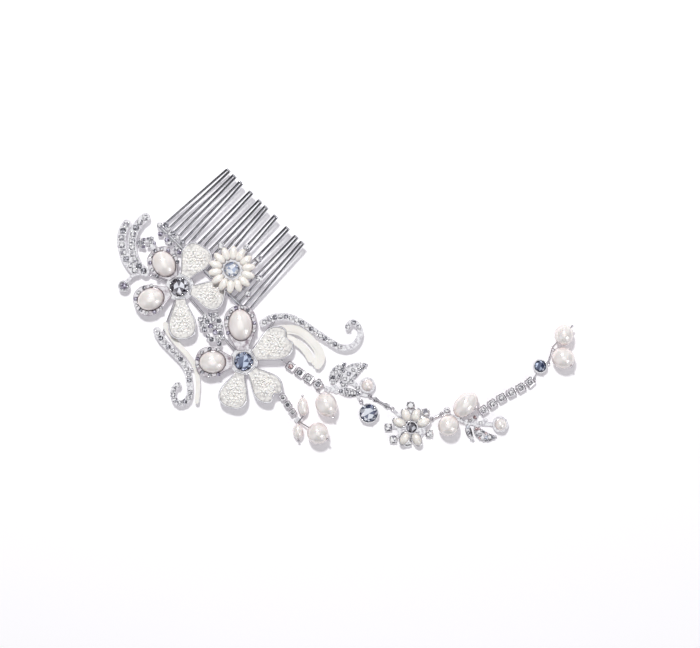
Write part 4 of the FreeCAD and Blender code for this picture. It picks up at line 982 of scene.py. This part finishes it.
@dataclass
class Comb:
    """Everything on the rigid comb: wire comb, flowers, scrolls, leaf and sprigs.

    Attributes:
        metal: How the plain metal and enamel are dressed.
        wire_edge: Width of the softened edges on wires.
        cast_edge: Width of the softened edges on cast pieces.
        enamel_edge: Width of the softened edges on cream enamel.
        petal_cut: Angle under the middle where the button pearls are cut, in degrees.
        jewelled_wraps: How many wraps of the spine carry crystals.
        crowd: How many crystals are tried round each place of a cluster.
        crowd_reach: Their distance from it, in stone radii.
        cup_depth: Depth of the small cups under them.
        vein: Size of the leaf's inner veins as a share of its ribs.
    """

    metal: Metalwork = field(default_factory=Metalwork)
    wire_edge: float = 0.05 * MM
    cast_edge: float = 0.3 * MM
    enamel_edge: float = 0.4 * MM
    petal_cut: float = 40.0
    jewelled_wraps: int = 4
    crowd: int = 6
    crowd_reach: float = 2.2
    cup_depth: float = 1.8 * MM
    vein: tuple[float, float, float] = (0.84, 0.84, 0.7)

    def wires(self) -> None:
        """Spine, teeth and wraps of the wire comb, and the frame wires under the flowers."""
        for node in ("comb_spine", "comb_teeth", "tooth_wraps"):
            self.metal.dress(node, COMB_WIRE, self.wire_edge)
        for node in ("frame_wires", "chain_anchors"):
            self.metal.dress(node, SILVER, self.wire_edge)

    def flowers(self) -> None:
        """Two large flowers and the small one over the teeth."""
        for node in ("flower_hubs", "bead_petals", "centre_settings", "small_flower_frame"):
            self.metal.dress(node, SILVER)
        # The pearl trays take dark patches and darker flanks of painted shade.
        self.metal.dress("pearl_petals", PETAL_SILVER_PAINTED_SHADE)
        BeadBeds().build()
        PearlString(kept=math.sin(math.radians(self.petal_cut)),
                    uneven=0.05).build("petal_pearls", 5)
        PearlString(RICE_PEARL, uneven=0.03, across=20,
                    plump=1.3).build("small_flower_pearls", 9)
        StoneSet(8, 2, spread=1.1).build("petal_rim_crystals", seats_in("rim_stones"),
                                         [Tint.CLEAR, Tint.SMOKE, Tint.CLEAR, Tint.VIOLET],
                                         "comb", ["rim_stones"], 21)
        StoneSet(8, 4).build("small_flower_set_crystals", seats_in("small_flower_crystals"),
                             [Tint.CLEAR], "comb", ["small_flower_crystals"], 22)
        self.centres()

    def centres(self) -> None:
        """Large crystals in the middle of the three flowers, from left to right."""
        seats = sorted(seats_in("centre_stones"), key=lambda seat: seat.base.x)
        tints = [Tint.NIGHT, Tint.ICE, Tint.STEEL]
        StoneSet(16, 8, 0.13, 22.5).build("flower_centre_crystals", seats, tints, "comb",
                                          ["centre_stones"], 7)

    def scrolls(self) -> None:
        """Stone-set scrolls, cream leaf and strip, and the two sprigs."""
        for node in ("right_scroll", "left_scroll", "left_sprig", "filler_branches"):
            self.metal.dress(node, CAST_SILVER, self.cast_edge)
        for node in ("cream_strip", "cream_leaf"):
            self.metal.dress(node, CREAM, self.enamel_edge)
        self.leaf_web()
        middle = max((seat.base for seat in seats_in("centre_stones")), key=lambda base: base.x)
        seats = sorted(seats_in("scroll_stones"), key=lambda seat: (seat.base - middle).length)
        right = [seat for seat in seats if seat.base.x > middle.x]
        left = [seat for seat in seats if seat.base.x <= middle.x]
        row = StoneSet(spread=1.18)
        row.build("right_scroll_crystals", right,
                  [Tint.CLEAR, Tint.CLEAR, Tint.SMOKE, Tint.CLEAR, Tint.SMOKE], "comb", [], 31)
        row.build("left_scroll_crystals", left,
                  [Tint.CLEAR, Tint.SMOKE, Tint.CLEAR, Tint.CLEAR], "comb",
                  ["scroll_stones"], 32)
        sprig = sorted(seats_in("left_sprig_stones"), key=lambda seat: -seat.radius)
        StoneSet(16, 6, 0.14, spread=0.72).build("left_bezel_crystal", sprig[:1],
                                                 [Tint.VIOLET], "comb", [], 36)
        self.bezel(sprig[0])
        StoneSet(spread=1.1).build("left_sprig_crystals", sprig[1:],
                                   [Tint.CLEAR, Tint.SMOKE, Tint.CLEAR, Tint.CLEAR], "comb",
                                   ["left_sprig_stones"], 33)
        StoneSet().build("filler_crystals", seats_in("filler_stones"),
                         [Tint.CLEAR, Tint.SMOKE], "comb", ["filler_stones"], 34)
        self.clusters()

    def bezel(self, seat: Seat) -> None:
        """Round wall of the cup at the tip of the left sprig.

        Args:
            seat: Place of its stone.
        """
        mesh = bmesh.new()
        size = Vector((seat.radius * 0.92, seat.radius * 0.92, seat.height * 2.0))
        stamp(mesh, pattern("wire_ring", wire_ring), scaled_at(seat.base, size, 0.0))
        finished(mesh, "left_bezel_wall", [SILVER.material()], "comb")

    def leaf_web(self) -> None:
        """Thinner veins inside the two ribs of the cream leaf."""
        mesh = merged_copy("cream_leaf")
        low, high = corners(mesh.verts)
        middle = (low + high) / 2
        spot = Vector((middle.x, middle.y, low.z))
        bmesh.ops.scale(mesh, verts=mesh.verts, vec=Vector(self.vein),
                        space=Matrix.Translation(-spot))
        sharpen(mesh, 32.0)
        finished(mesh, "cream_leaf_veins", [CREAM.material()], "comb")

    def wrap_seats(self, like: Seat) -> list[Seat]:
        """Places over the first wraps at the upper end of the spine.

        Args:
            like: Seat whose size they share.

        Returns:
            One seat over each of the first wraps.
        """
        mesh = merged_copy("tooth_wraps")
        boxes = sorted((corners(solid) for solid in solids_of(mesh)), key=lambda box: box[0].x)
        mesh.free()
        seats = []
        for low, high in boxes[:self.jewelled_wraps]:
            middle = (low + high) / 2
            seats.append(Seat(Vector((middle.x, middle.y, high.z)), like.radius, like.height))
        return seats

    def crowded(self, seats: Sequence[Seat]) -> list[Seat]:
        """Find free places for small crystals, clear of petals, pearls and one another.

        Args:
            seats: Stones of the branches.

        Returns:
            Places round those stones and round the first wraps of the spine.
        """
        petals = bmesh.new()
        for node in ("bead_petals", "pearl_petals", "flower_hubs", "small_flower_frame",
                     "small_flower_pearls"):
            petals.from_mesh(frame["nodes"][node].data)
        tree = BVHTree.FromBMesh(petals)
        petals.free()
        probes = [Vector(), *(Vector(way) * 1.2 for way in ((1, 0, 0), (-1, 0, 0),
                                                            (0, 1, 0), (0, -1, 0)))]
        above = UP * 20.0 * MM
        chance = random.Random(8)
        found: list[Seat] = []
        for seat in [*seats, *self.wrap_seats(seats[0])]:
            for k in range(self.crowd):
                angle = math.tau * k / self.crowd + chance.uniform(-0.3, 0.3)
                out = Vector((math.cos(angle), math.sin(angle), 0.0))
                spot = (seat.base + out * seat.radius * self.crowd_reach
                        - UP * chance.uniform(0.2, 0.6) * MM)
                clear = all((spot - other.base).to_2d().length > other.radius * 1.8
                            for other in [*seats, *found])
                free = all(tree.ray_cast(spot + above + probe * seat.radius, -UP)[0] is None
                           for probe in probes)
                if clear and free:
                    found.append(Seat(spot, seat.radius * chance.uniform(0.85, 1.1),
                                      seat.height))
        return found

    def clusters(self) -> None:
        """Small cups with crystals, crowded round the stones of the branches."""
        low = Vector(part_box("filler_branches")[0])
        crowd = self.crowded(seats_in("filler_stones"))
        mesh = bmesh.new()
        for seat in crowd:
            foot = max(low.z, seat.base.z - self.cup_depth)
            tall = seat.base.z - foot + 0.15 * MM
            made = bmesh.ops.create_cone(mesh, cap_ends=True, segments=12,
                                         radius1=seat.radius * 0.8, radius2=seat.radius * 1.25,
                                         depth=tall)
            bmesh.ops.translate(mesh, verts=made["verts"],
                                vec=Vector((seat.base.x, seat.base.y, foot + tall / 2)))
        # Painted shade on the cups' flanks, through the side colour.
        shade_flanks(mesh, 0.8)
        finished(mesh, "cluster_cups", [CAST_SILVER.material()], "comb")
        StoneSet(spread=1.1).build("cluster_crystals", crowd,
                                   [Tint.CLEAR, Tint.SMOKE, Tint.CLEAR, Tint.VIOLET], "comb",
                                   [], 35)


@dataclass
class CupChain:
    """Cups of the chains, each with one square-set crystal.

    Attributes:
        tints: Colours of the crystals in order.
        metal: How the plain metal is dressed.
        edge: Width of the softened edges.
        reach: Half width of a collar as a share of the stone's radius.
        depth: Height of a collar.
        merlon: Length, width and height of a tooth of the saw cut, as shares of the depth.
        merlon_steps: Places of the teeth along a side, as shares of its half.
    """

    tints: Sequence[Tint] = (Tint.CLEAR,)
    metal: Metalwork = field(default_factory=Metalwork)
    edge: float = 0.12 * MM
    reach: float = 1.72
    depth: float = 0.9 * MM
    merlon: tuple[float, float, float] = (0.5, 0.34, 1.15)
    merlon_steps: tuple[float, ...] = (-0.66, 0.0, 0.66)

    def build(self, nodes: Sequence[str], seed: int) -> None:
        """Dress the cups of one chain.

        Args:
            nodes: Cup nodes from the flower outwards.
            seed: Seed of the play of facets.
        """
        for i, node in enumerate(nodes):
            mesh = merged_copy(node)
            seats = [seat_of(solid) for solid in stone_solids(mesh)]
            heading = pearl_body(mesh.verts[:], 1.0).angle
            mesh.free()
            self.metal.dress(node, SILVER, self.edge, skip_stones=True)
            self.collar(node, seats[0], heading)
            StoneSet(8, 8, 0.2, spread=1.15).build(node + "_crystal", seats,
                                                   [self.tints[i % len(self.tints)]],
                                                   body_of(node), [], seed + i)

    def collar(self, node: str, seat: Seat, heading: float) -> None:
        """Put a square collar with saw-cut sides round the stone of a cup.

        Args:
            node: Cup node that the collar sits on.
            seat: Place of its stone.
            heading: Bearing of the cup, in radians.
        """
        block = pattern("collar_block", collar_block)
        mesh = bmesh.new()
        half = seat.radius * self.reach
        level = seat.base - UP * self.depth / 2
        stamp(mesh, block, scaled_at(level, Vector((half, half, self.depth)) * 2, heading))
        for side in range(4):
            turn = heading + side * math.pi / 2
            out = Vector((math.cos(turn), math.sin(turn), 0.0))
            along = Vector((-out.y, out.x, 0.0))
            for step in self.merlon_steps:
                spot = level + out * half + along * half * step
                stamp(mesh, block, scaled_at(spot, Vector(self.merlon) * self.depth, turn))
        # Painted shade: darker flanks and dark patches on the collar.
        shade_flanks(mesh, 0.9)
        finished(mesh, node + "_collar", [PETAL_SILVER_PAINTED_SHADE.material()],
                 body_of(node))


@dataclass
class PaveLeaves:
    """Pointed leaves, each spread about one row of stones, with smaller stones beside it.

    Attributes:
        width: Half width of a leaf for each millimetre of its length.
        thickness: Thickness of a leaf.
        crown: How much higher the middle of a leaf lies than its edges.
        tip: Length of both tips beyond the end stones.
        stride: Greatest distance between neighbours in a row.
        side_stone: Radius of the smaller stones.
        blur: How far the middle line is smoothed, as a share of the leaf.
    """

    width: float = 0.21
    thickness: float = 0.75 * MM
    crown: float = 0.25 * MM
    tip: float = 1.5 * MM
    stride: float = 3.3 * MM
    side_stone: float = 0.62 * MM
    blur: float = 0.14

    def rows(self, seats: Sequence[Seat]) -> list[list[Seat]]:
        """Split stones into rows of near neighbours.

        Args:
            seats: Stones in the order in which they are set.

        Returns:
            The rows of two stones or more.
        """
        rows: list[list[Seat]] = []
        for seat in seats:
            if rows and (seat.base - rows[-1][-1].base).length < self.stride:
                rows[-1].append(seat)
            else:
                rows.append([seat])
        return [row for row in rows if len(row) > 1]

    def middle(self, row: Sequence[Seat], share: float) -> Vector:
        """Point on the straight runs between the stones of a row.

        Args:
            row: Stones on the middle line.
            share: Place along the leaf, from 0 to 1.

        Returns:
            The point, beyond the last stones near 0 and 1.
        """
        over = 0.55 / (len(row) - 1)
        step = (share * (1.0 + 2 * over) - over) * (len(row) - 1)
        near = min(max(int(math.floor(step)), 0), len(row) - 2)
        return row[near].base.lerp(row[near + 1].base, step - near)

    def along(self, row: Sequence[Seat], share: float) -> tuple[Vector, Vector]:
        """Point and heading on the smooth middle line of a leaf.

        Args:
            row: Stones on the middle line.
            share: Place along the leaf, from 0 to 1.

        Returns:
            The point, and the unit vector across the leaf.
        """
        before, here, after = (self.middle(row, share + step)
                               for step in (-self.blur, 0.0, self.blur))
        heading = (after - before).normalized()
        return (before + here * 2 + after) / 4, Vector((-heading.y, heading.x, 0.0))

    def swell(self, share: float) -> float:
        """Half width of a leaf at a place along it, as a share of the greatest."""
        return math.sin(math.pi * min(share, 0.985) ** 0.85) ** 0.8

    def plate(self, mesh: bmesh.types.BMesh, row: Sequence[Seat]) -> float:
        """Add the plate of one leaf.

        Args:
            mesh: Mesh that grows.
            row: Stones on its middle line.

        Returns:
            The greatest half width of the leaf.
        """
        length = sum((a.base - b.base).length for a, b in zip(row, row[1:])) + self.tip
        half = self.width * length
        made = bmesh.ops.create_grid(mesh, x_segments=20, y_segments=4, size=1.0)
        for vert in made["verts"]:
            share = 0.5 + 0.5 * vert.co.x
            point, across = self.along(row, share)
            reach = max(half * self.swell(share), 0.15 * MM)
            lift = (1.0 - vert.co.y ** 2) * self.crown
            vert.co = point + across * vert.co.y * reach - UP * (0.15 * MM - lift)
        faces = list({face for vert in made["verts"] for face in vert.link_faces})
        lower = bmesh.ops.extrude_face_region(mesh, geom=faces, use_keep_orig=True)
        bmesh.ops.translate(mesh, vec=-UP * self.thickness, verts=[
            item for item in lower["geom"] if isinstance(item, bmesh.types.BMVert)])
        bmesh.ops.recalc_face_normals(mesh, faces=mesh.faces)
        return half

    def build(self, node: str, tints: Sequence[Tint], seed: int) -> None:
        """Make the leaves about the stones of a node.

        Args:
            node: CAD node of the stones.
            tints: Colours of the smaller stones.
            seed: Seed of the play of facets.
        """
        mesh = bmesh.new()
        beside = []
        for row in self.rows(seats_in(node)):
            half = self.plate(mesh, row)
            count = 2 * len(row)
            for k in range(count):
                share = (k + 0.5) / count
                point, across = self.along(row, share)
                room = half * self.swell(share)
                if room > row[0].radius + self.side_stone * 0.9:
                    for hand in (-1, 1):
                        out = across * hand * (room - self.side_stone * 0.9)
                        beside.append(Seat(point + out, self.side_stone, row[0].height * 0.7))
        # Painted shade on the leaves' flanks, through the side colour.
        shade_flanks(mesh, 1.0)
        sharpen(mesh, 40.0)
        finished(mesh, node + "_leaves", [CAST_SILVER.material()],
                 body_of(node))
        StoneSet(8, 2).build(node + "_side_crystals", beside, tints, body_of(node), [], seed)


@dataclass
class Trail:
    """Everything that hangs on the lower flower, joint by joint.

    Attributes:
        metal: How the plain metal is dressed.
        cast_edge: Width of the softened edges on cast pieces.
        wire_edge: Width of the softened edges on wires.
        outer_spread: Width of the daisy's outer stones as a share of their solids'.
        ribbon_width: Width of the twisted band on the long link.
        ribbon_thickness: Its thickness.
        ribbon_flat: Height of the twist as a share of its width.
    """

    metal: Metalwork = field(default_factory=Metalwork)
    cast_edge: float = 0.12 * MM
    wire_edge: float = 0.05 * MM
    outer_spread: float = 1.5
    ribbon_width: float = 2.2 * MM
    ribbon_thickness: float = 0.3 * MM
    ribbon_flat: float = 0.6

    def chains(self) -> None:
        """Cups of the chain, of the trail and of the spray."""
        CupChain((Tint.ROSE, Tint.SMOKE, Tint.CLEAR, Tint.SMOKE)).build(
            ["chain_cup_%d" % i for i in range(1, 5)], 41)
        CupChain((Tint.CLEAR,)).build(["trail_cup_%d" % i for i in range(1, 7)], 51)
        CupChain((Tint.CLEAR, Tint.SMOKE)).build(["spray_cup_%d" % i for i in range(1, 4)], 61)

    def sprigs(self) -> None:
        """Stone-set sprigs, the daisy and the links between them."""
        for node in ("sprig_one_frame", "sprig_two_frame", "daisy_frame"):
            self.metal.dress(node, CAST_SILVER, self.cast_edge)
        for node in ("long_link", "short_link", "drop_pearl_pin", "end_pins", "spray_stem",
                     "crystal_drop_setting", "tail_setting"):
            self.metal.dress(node, SILVER, self.wire_edge)
        self.ribbon("long_link")
        leaves = PaveLeaves()
        leaves.build("sprig_one_stones", [Tint.CLEAR, Tint.SMOKE, Tint.CLEAR], 77)
        leaves.build("sprig_two_stones", [Tint.CLEAR, Tint.ROSE, Tint.SMOKE], 78)
        StoneSet().build("sprig_one_crystals", seats_in("sprig_one_stones"),
                         [Tint.CLEAR, Tint.SMOKE, Tint.CLEAR], "sprig_one",
                         ["sprig_one_stones"], 71)
        StoneSet().build("sprig_two_crystals", seats_in("sprig_two_stones"),
                         [Tint.CLEAR, Tint.ROSE, Tint.CLEAR, Tint.ICE, Tint.SMOKE], "sprig_two",
                         ["sprig_two_stones"], 72)
        self.daisy()
        StoneSet(16, 6, 0.14).build("drop_crystal", seats_in("crystal_drop_stone"),
                                    [Tint.NAVY], "crystal_drop", ["crystal_drop_stone"], 74)
        StoneSet(12, 6, 0.14).build("tail_crystal", seats_in("tail_stone"),
                                    [Tint.STEEL], "tail", ["tail_stone"], 75)

    def daisy(self) -> None:
        """Centre stone of the daisy, and its outer stones, kept inside the comb's box."""
        centre, *others = sorted(seats_in("daisy_stones"), key=lambda seat: -seat.radius)
        StoneSet(12, 6, 0.16).build("daisy_centre_crystal", [centre], [Tint.NIGHT], "daisy",
                                    [], 73)
        edge = (Vector(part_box("daisy_frame")[0]).y
                + others[0].radius * self.outer_spread * 1.25)
        outer = [Seat(Vector((seat.base.x, max(seat.base.y, edge), seat.base.z)), seat.radius,
                      seat.height) for seat in others]
        StoneSet(8, 4, 0.2, spread=self.outer_spread).build(
            "daisy_outer_crystals", outer, [Tint.CLEAR], "daisy", ["daisy_stones"], 76)

    def pearls(self) -> None:
        """Pearls on their pins, and the rice pearls of the daisy."""
        for i, node in enumerate(("drop_pearl", "sprig_one_pearl", "sprig_two_pearls",
                                  "end_pearls", "spray_pearls")):
            # The small pearl in its bezel takes its painted shade higher up, as a darker ring.
            edge_shade_power = 0.9 if node == "sprig_one_pearl" else 1.6
            PearlString(uneven=0.06, edge_shade_power=edge_shade_power).build(node, 13 + 4 * i)
        PearlString(RICE_PEARL, uneven=0.03, across=24).build("daisy_pearls", 15)
        self.petal_rings("daisy_pearls")

    def petal_rings(self, node: str) -> None:
        """Wire rings that outline flat pearls.

        Args:
            node: CAD node of the pearls.
        """
        ring = pattern("wire_ring", wire_ring)
        solids = merged_copy(node)
        mesh = bmesh.new()
        for solid in solids_of(solids):
            body = pearl_body(solid, 1.0)
            size = Vector((body.semis.x * 1.06, body.semis.y * 1.06, body.semis.z * 1.3))
            stamp(mesh, ring, scaled_at(body.middle, size, body.angle))
        solids.free()
        finished(mesh, node + "_rings", [SILVER.material()], body_of(node))

    def ribbon(self, node: str) -> None:
        """Flat band, twisted half a turn, over the wire of a link.

        Args:
            node: CAD node of the link.
        """
        wire = merged_copy(node)
        core = pearl_body(wire.verts[:], 1.0)
        wire.free()
        mesh = bmesh.new()
        length = core.semis.x * 1.3
        bmesh.ops.create_grid(mesh, x_segments=28, y_segments=2, size=1.0)
        for vert in mesh.verts:
            share = vert.co.x
            twist = Matrix.Rotation(math.pi * (0.5 + 0.5 * share), 3, "X")
            across = twist @ Vector((0.0, vert.co.y * self.ribbon_width / 2, 0.0))
            vert.co = Vector((share * length / 2, across.y, across.z * self.ribbon_flat))
        bmesh.ops.solidify(mesh, geom=mesh.faces[:], thickness=self.ribbon_thickness)
        bmesh.ops.transform(mesh, matrix=scaled_at(core.middle, Vector((1.0, 1.0, 1.0)),
                                                   core.angle), verts=mesh.verts)
        bmesh.ops.recalc_face_normals(mesh, faces=mesh.faces)
        sharpen(mesh, 40.0)
        finished(mesh, node + "_ribbon", [SILVER.material()], body_of(node))


# Studio


@dataclass(frozen=True)
class SoftBox:
    """Square lamp that faces the comb.

    Attributes:
        name: Name of the lamp.
        place: Where it stands, in metres.
        size: Side of its square, in metres.
        power: Power in watts.
    """

    name: str
    place: tuple[float, float, float]
    size: float
    power: float

    def build(self, aim: Vector) -> None:
        """Put up the lamp.

        Args:
            aim: Point that it faces.
        """
        data = bpy.data.lights.new(self.name, "AREA")
        data.shape = "SQUARE"
        data.size = self.size
        data.energy = self.power
        lamp = bpy.data.objects.new(self.name, data)
        lamp.location = self.place
        lamp.rotation_mode = "QUATERNION"
        lamp.rotation_quaternion = (Vector(self.place) - aim).to_track_quat("Z", "Y")
        bpy.context.scene.collection.objects.link(lamp)


@dataclass
class Studio:
    """Plain pale floor, soft light and the camera over the comb.

    Attributes:
        boxes: The two lamps.
        paper: Colour of the floor.
        shade: Tint of the lift that keeps shadows on the floor pale.
        lift: Strength of that lift.
        half_floor: Half width of the floor.
        floor_drop: How far the floor lies under the comb.
        level: Strength of the room's light.
        middle: Point of the table that the camera looks at.
        field_width: Width of the view at the table.
        lens: Focal length, in millimetres.
        room: Height and level of the room's light, from the horizon to overhead.
        wall: Height and level of the panels' light.
        panels: Where the panels stand round the room, from 0 to 1.
    """

    boxes: Sequence[SoftBox] = (SoftBox("key_box", (-0.12, 0.46, 0.78), 0.1, 6.2),
                                SoftBox("fill_box", (0.5, -0.4, 0.5), 0.25, 0.6))
    paper: Colour = (0.86, 0.86, 0.865)
    shade: Colour = (0.97, 0.92, 1.0)
    lift: float = 0.23
    half_floor: float = 3.0
    floor_drop: float = 0.02 * MM
    level: float = 0.6
    middle: Vector = field(default_factory=lambda: Vector((1.505, -7.095, 3.0)) * MM)
    field_width: float = 301.0 * MM
    lens: float = 85.0
    room: Sequence[tuple[float, float]] = ((0.0, 0.25), (0.25, 0.2), (0.5, 0.03),
                                           (0.9, 0.04), (0.96, 1.5))
    wall: Sequence[tuple[float, float]] = ((0.0, 0.2), (0.12, 1.0), (0.78, 1.0), (0.88, 0.0))
    panels: Sequence[tuple[float, float]] = ((0.0, 0.0), (0.06, 0.9), (0.14, 0.9), (0.18, 0.0),
                                             (0.30, 0.0), (0.34, 1.1), (0.42, 1.1), (0.46, 0.0),
                                             (0.56, 0.0), (0.60, 0.8), (0.68, 0.8), (0.70, 0.0),
                                             (0.72, 0.0), (0.74, 1.0), (0.80, 1.0), (0.82, 0.0))

    def floor(self) -> None:
        """Pale floor that shows white behind the comb and keeps its shadow."""
        mesh = bmesh.new()
        bmesh.ops.create_grid(mesh, x_segments=1, y_segments=1, size=self.half_floor)
        data = bpy.data.meshes.new("studio_floor")
        mesh.to_mesh(data)
        mesh.free()
        piece = bpy.data.objects.new("studio_floor", data)
        piece.location.z = -self.floor_drop
        bpy.context.scene.collection.objects.link(piece)
        made = bpy.data.materials.new("studio_paper")
        made.use_nodes = True
        nodes, links = made.node_tree.nodes, made.node_tree.links
        shader = nodes["Principled BSDF"]
        fill(shader, {"Base Color": (*self.paper, 1.0), "Roughness": 0.9,
                      "Specular IOR Level": 0.0, "Emission Color": (*self.shade, 1.0)})
        path = nodes.new("ShaderNodeLightPath")
        seen = path.outputs["Is Camera Ray"]
        for ray in ("Is Glossy Ray", "Is Transmission Ray"):
            seen = self.maths(made.node_tree, "MAXIMUM", seen, path.outputs[ray])
        lift = self.maths(made.node_tree, "MULTIPLY", seen, self.lift)
        links.new(lift, shader.inputs["Emission Strength"])
        data.materials.append(made)

    def maths(self, tree: bpy.types.NodeTree, kind: str, first: bpy.types.NodeSocket,
              second: bpy.types.NodeSocket | float) -> bpy.types.NodeSocket:
        """Add a maths node to a node tree.

        Args:
            tree: Tree that gets the node.
            kind: Its operation.
            first: Socket of the first number.
            second: Socket or value of the second number.

        Returns:
            The socket of the result.
        """
        node = tree.nodes.new("ShaderNodeMath")
        node.operation = kind
        tree.links.new(first, node.inputs[0])
        if isinstance(second, float):
            node.inputs[1].default_value = second
        else:
            tree.links.new(second, node.inputs[1])
        return node.outputs[0]

    def world(self) -> None:
        """Studio room: a pale ceiling, dark walls and tall pale panels between them."""
        world = bpy.data.worlds.new("studio_room")
        bpy.context.scene.world = world
        world.use_nodes = True
        nodes, links = world.node_tree.nodes, world.node_tree.links
        back = nodes["Background"]
        place = nodes.new("ShaderNodeTexCoord")
        split = nodes.new("ShaderNodeSeparateXYZ")
        round_room = nodes.new("ShaderNodeTexGradient")
        round_room.gradient_type = "RADIAL"
        links.new(place.outputs["Generated"], split.inputs["Vector"])
        links.new(place.outputs["Generated"], round_room.inputs["Vector"])
        room = self.ramp(nodes, self.room)
        wall = self.ramp(nodes, self.wall)
        panels = self.ramp(nodes, self.panels)
        links.new(split.outputs["Z"], room.inputs["Fac"])
        links.new(split.outputs["Z"], wall.inputs["Fac"])
        links.new(round_room.outputs["Fac"], panels.inputs["Fac"])
        lit = colour_mix(nodes, "MULTIPLY")
        links.new(wall.outputs["Color"], lit.inputs["A"])
        links.new(panels.outputs["Color"], lit.inputs["B"])
        both = colour_mix(nodes, "ADD")
        links.new(room.outputs["Color"], both.inputs["A"])
        links.new(lit.outputs["Result"], both.inputs["B"])
        path = nodes.new("ShaderNodeLightPath")
        mix = colour_mix(nodes)
        mix.inputs["B"].default_value = (1.0, 1.0, 1.0, 1.0)
        links.new(path.outputs["Is Camera Ray"], mix.inputs["Factor"])
        links.new(both.outputs["Result"], mix.inputs["A"])
        links.new(mix.outputs["Result"], back.inputs["Color"])
        back.inputs["Strength"].default_value = self.level

    def ramp(self, nodes: bpy.types.Nodes,
             stops: Sequence[tuple[float, float]]) -> bpy.types.Node:
        """Add a grey ramp to the room's nodes.

        Args:
            nodes: Nodes of the room.
            stops: Place and level of each stop.

        Returns:
            The ramp node.
        """
        ramp = nodes.new("ShaderNodeValToRGB")
        for step in range(2, len(stops)):
            ramp.color_ramp.elements.new(step / len(stops))
        for stop, (place, level) in zip(ramp.color_ramp.elements, stops):
            stop.position = place
            stop.color = (level, level, level * 1.02, 1.0)
        return ramp

    def camera(self) -> None:
        """Camera straight above, framed on the table."""
        data = bpy.data.cameras.new("overhead_camera")
        data.lens = self.lens
        data.sensor_width = 36.0
        data.clip_start = 0.01
        data.clip_end = 20.0
        camera = bpy.data.objects.new("overhead_camera", data)
        reach = self.field_width / 2 * self.lens / (data.sensor_width / 2)
        camera.location = self.middle + UP * reach
        bpy.context.scene.collection.objects.link(camera)
        bpy.context.scene.camera = camera

    def build(self) -> None:
        """Set up the floor, the room, the lamps and the camera."""
        for name in ("Cube", "Light", "Camera"):
            spare = bpy.data.objects.get(name)
            if spare:
                bpy.data.objects.remove(spare)
        bpy.context.scene.view_settings.view_transform = "Standard"
        self.floor()
        self.world()
        for box in self.boxes:
            box.build(self.middle)
        self.camera()


def main() -> None:
    """Build the comb from the spine outwards, then the studio."""
    logging.basicConfig(level=logging.INFO, format="%(name)s: %(message)s")
    comb = Comb()
    comb.wires()
    comb.flowers()
    comb.scrolls()
    trail = Trail()
    trail.chains()
    trail.sprigs()
    trail.pearls()
    Studio().build()


if __name__ == "__main__":
    main()
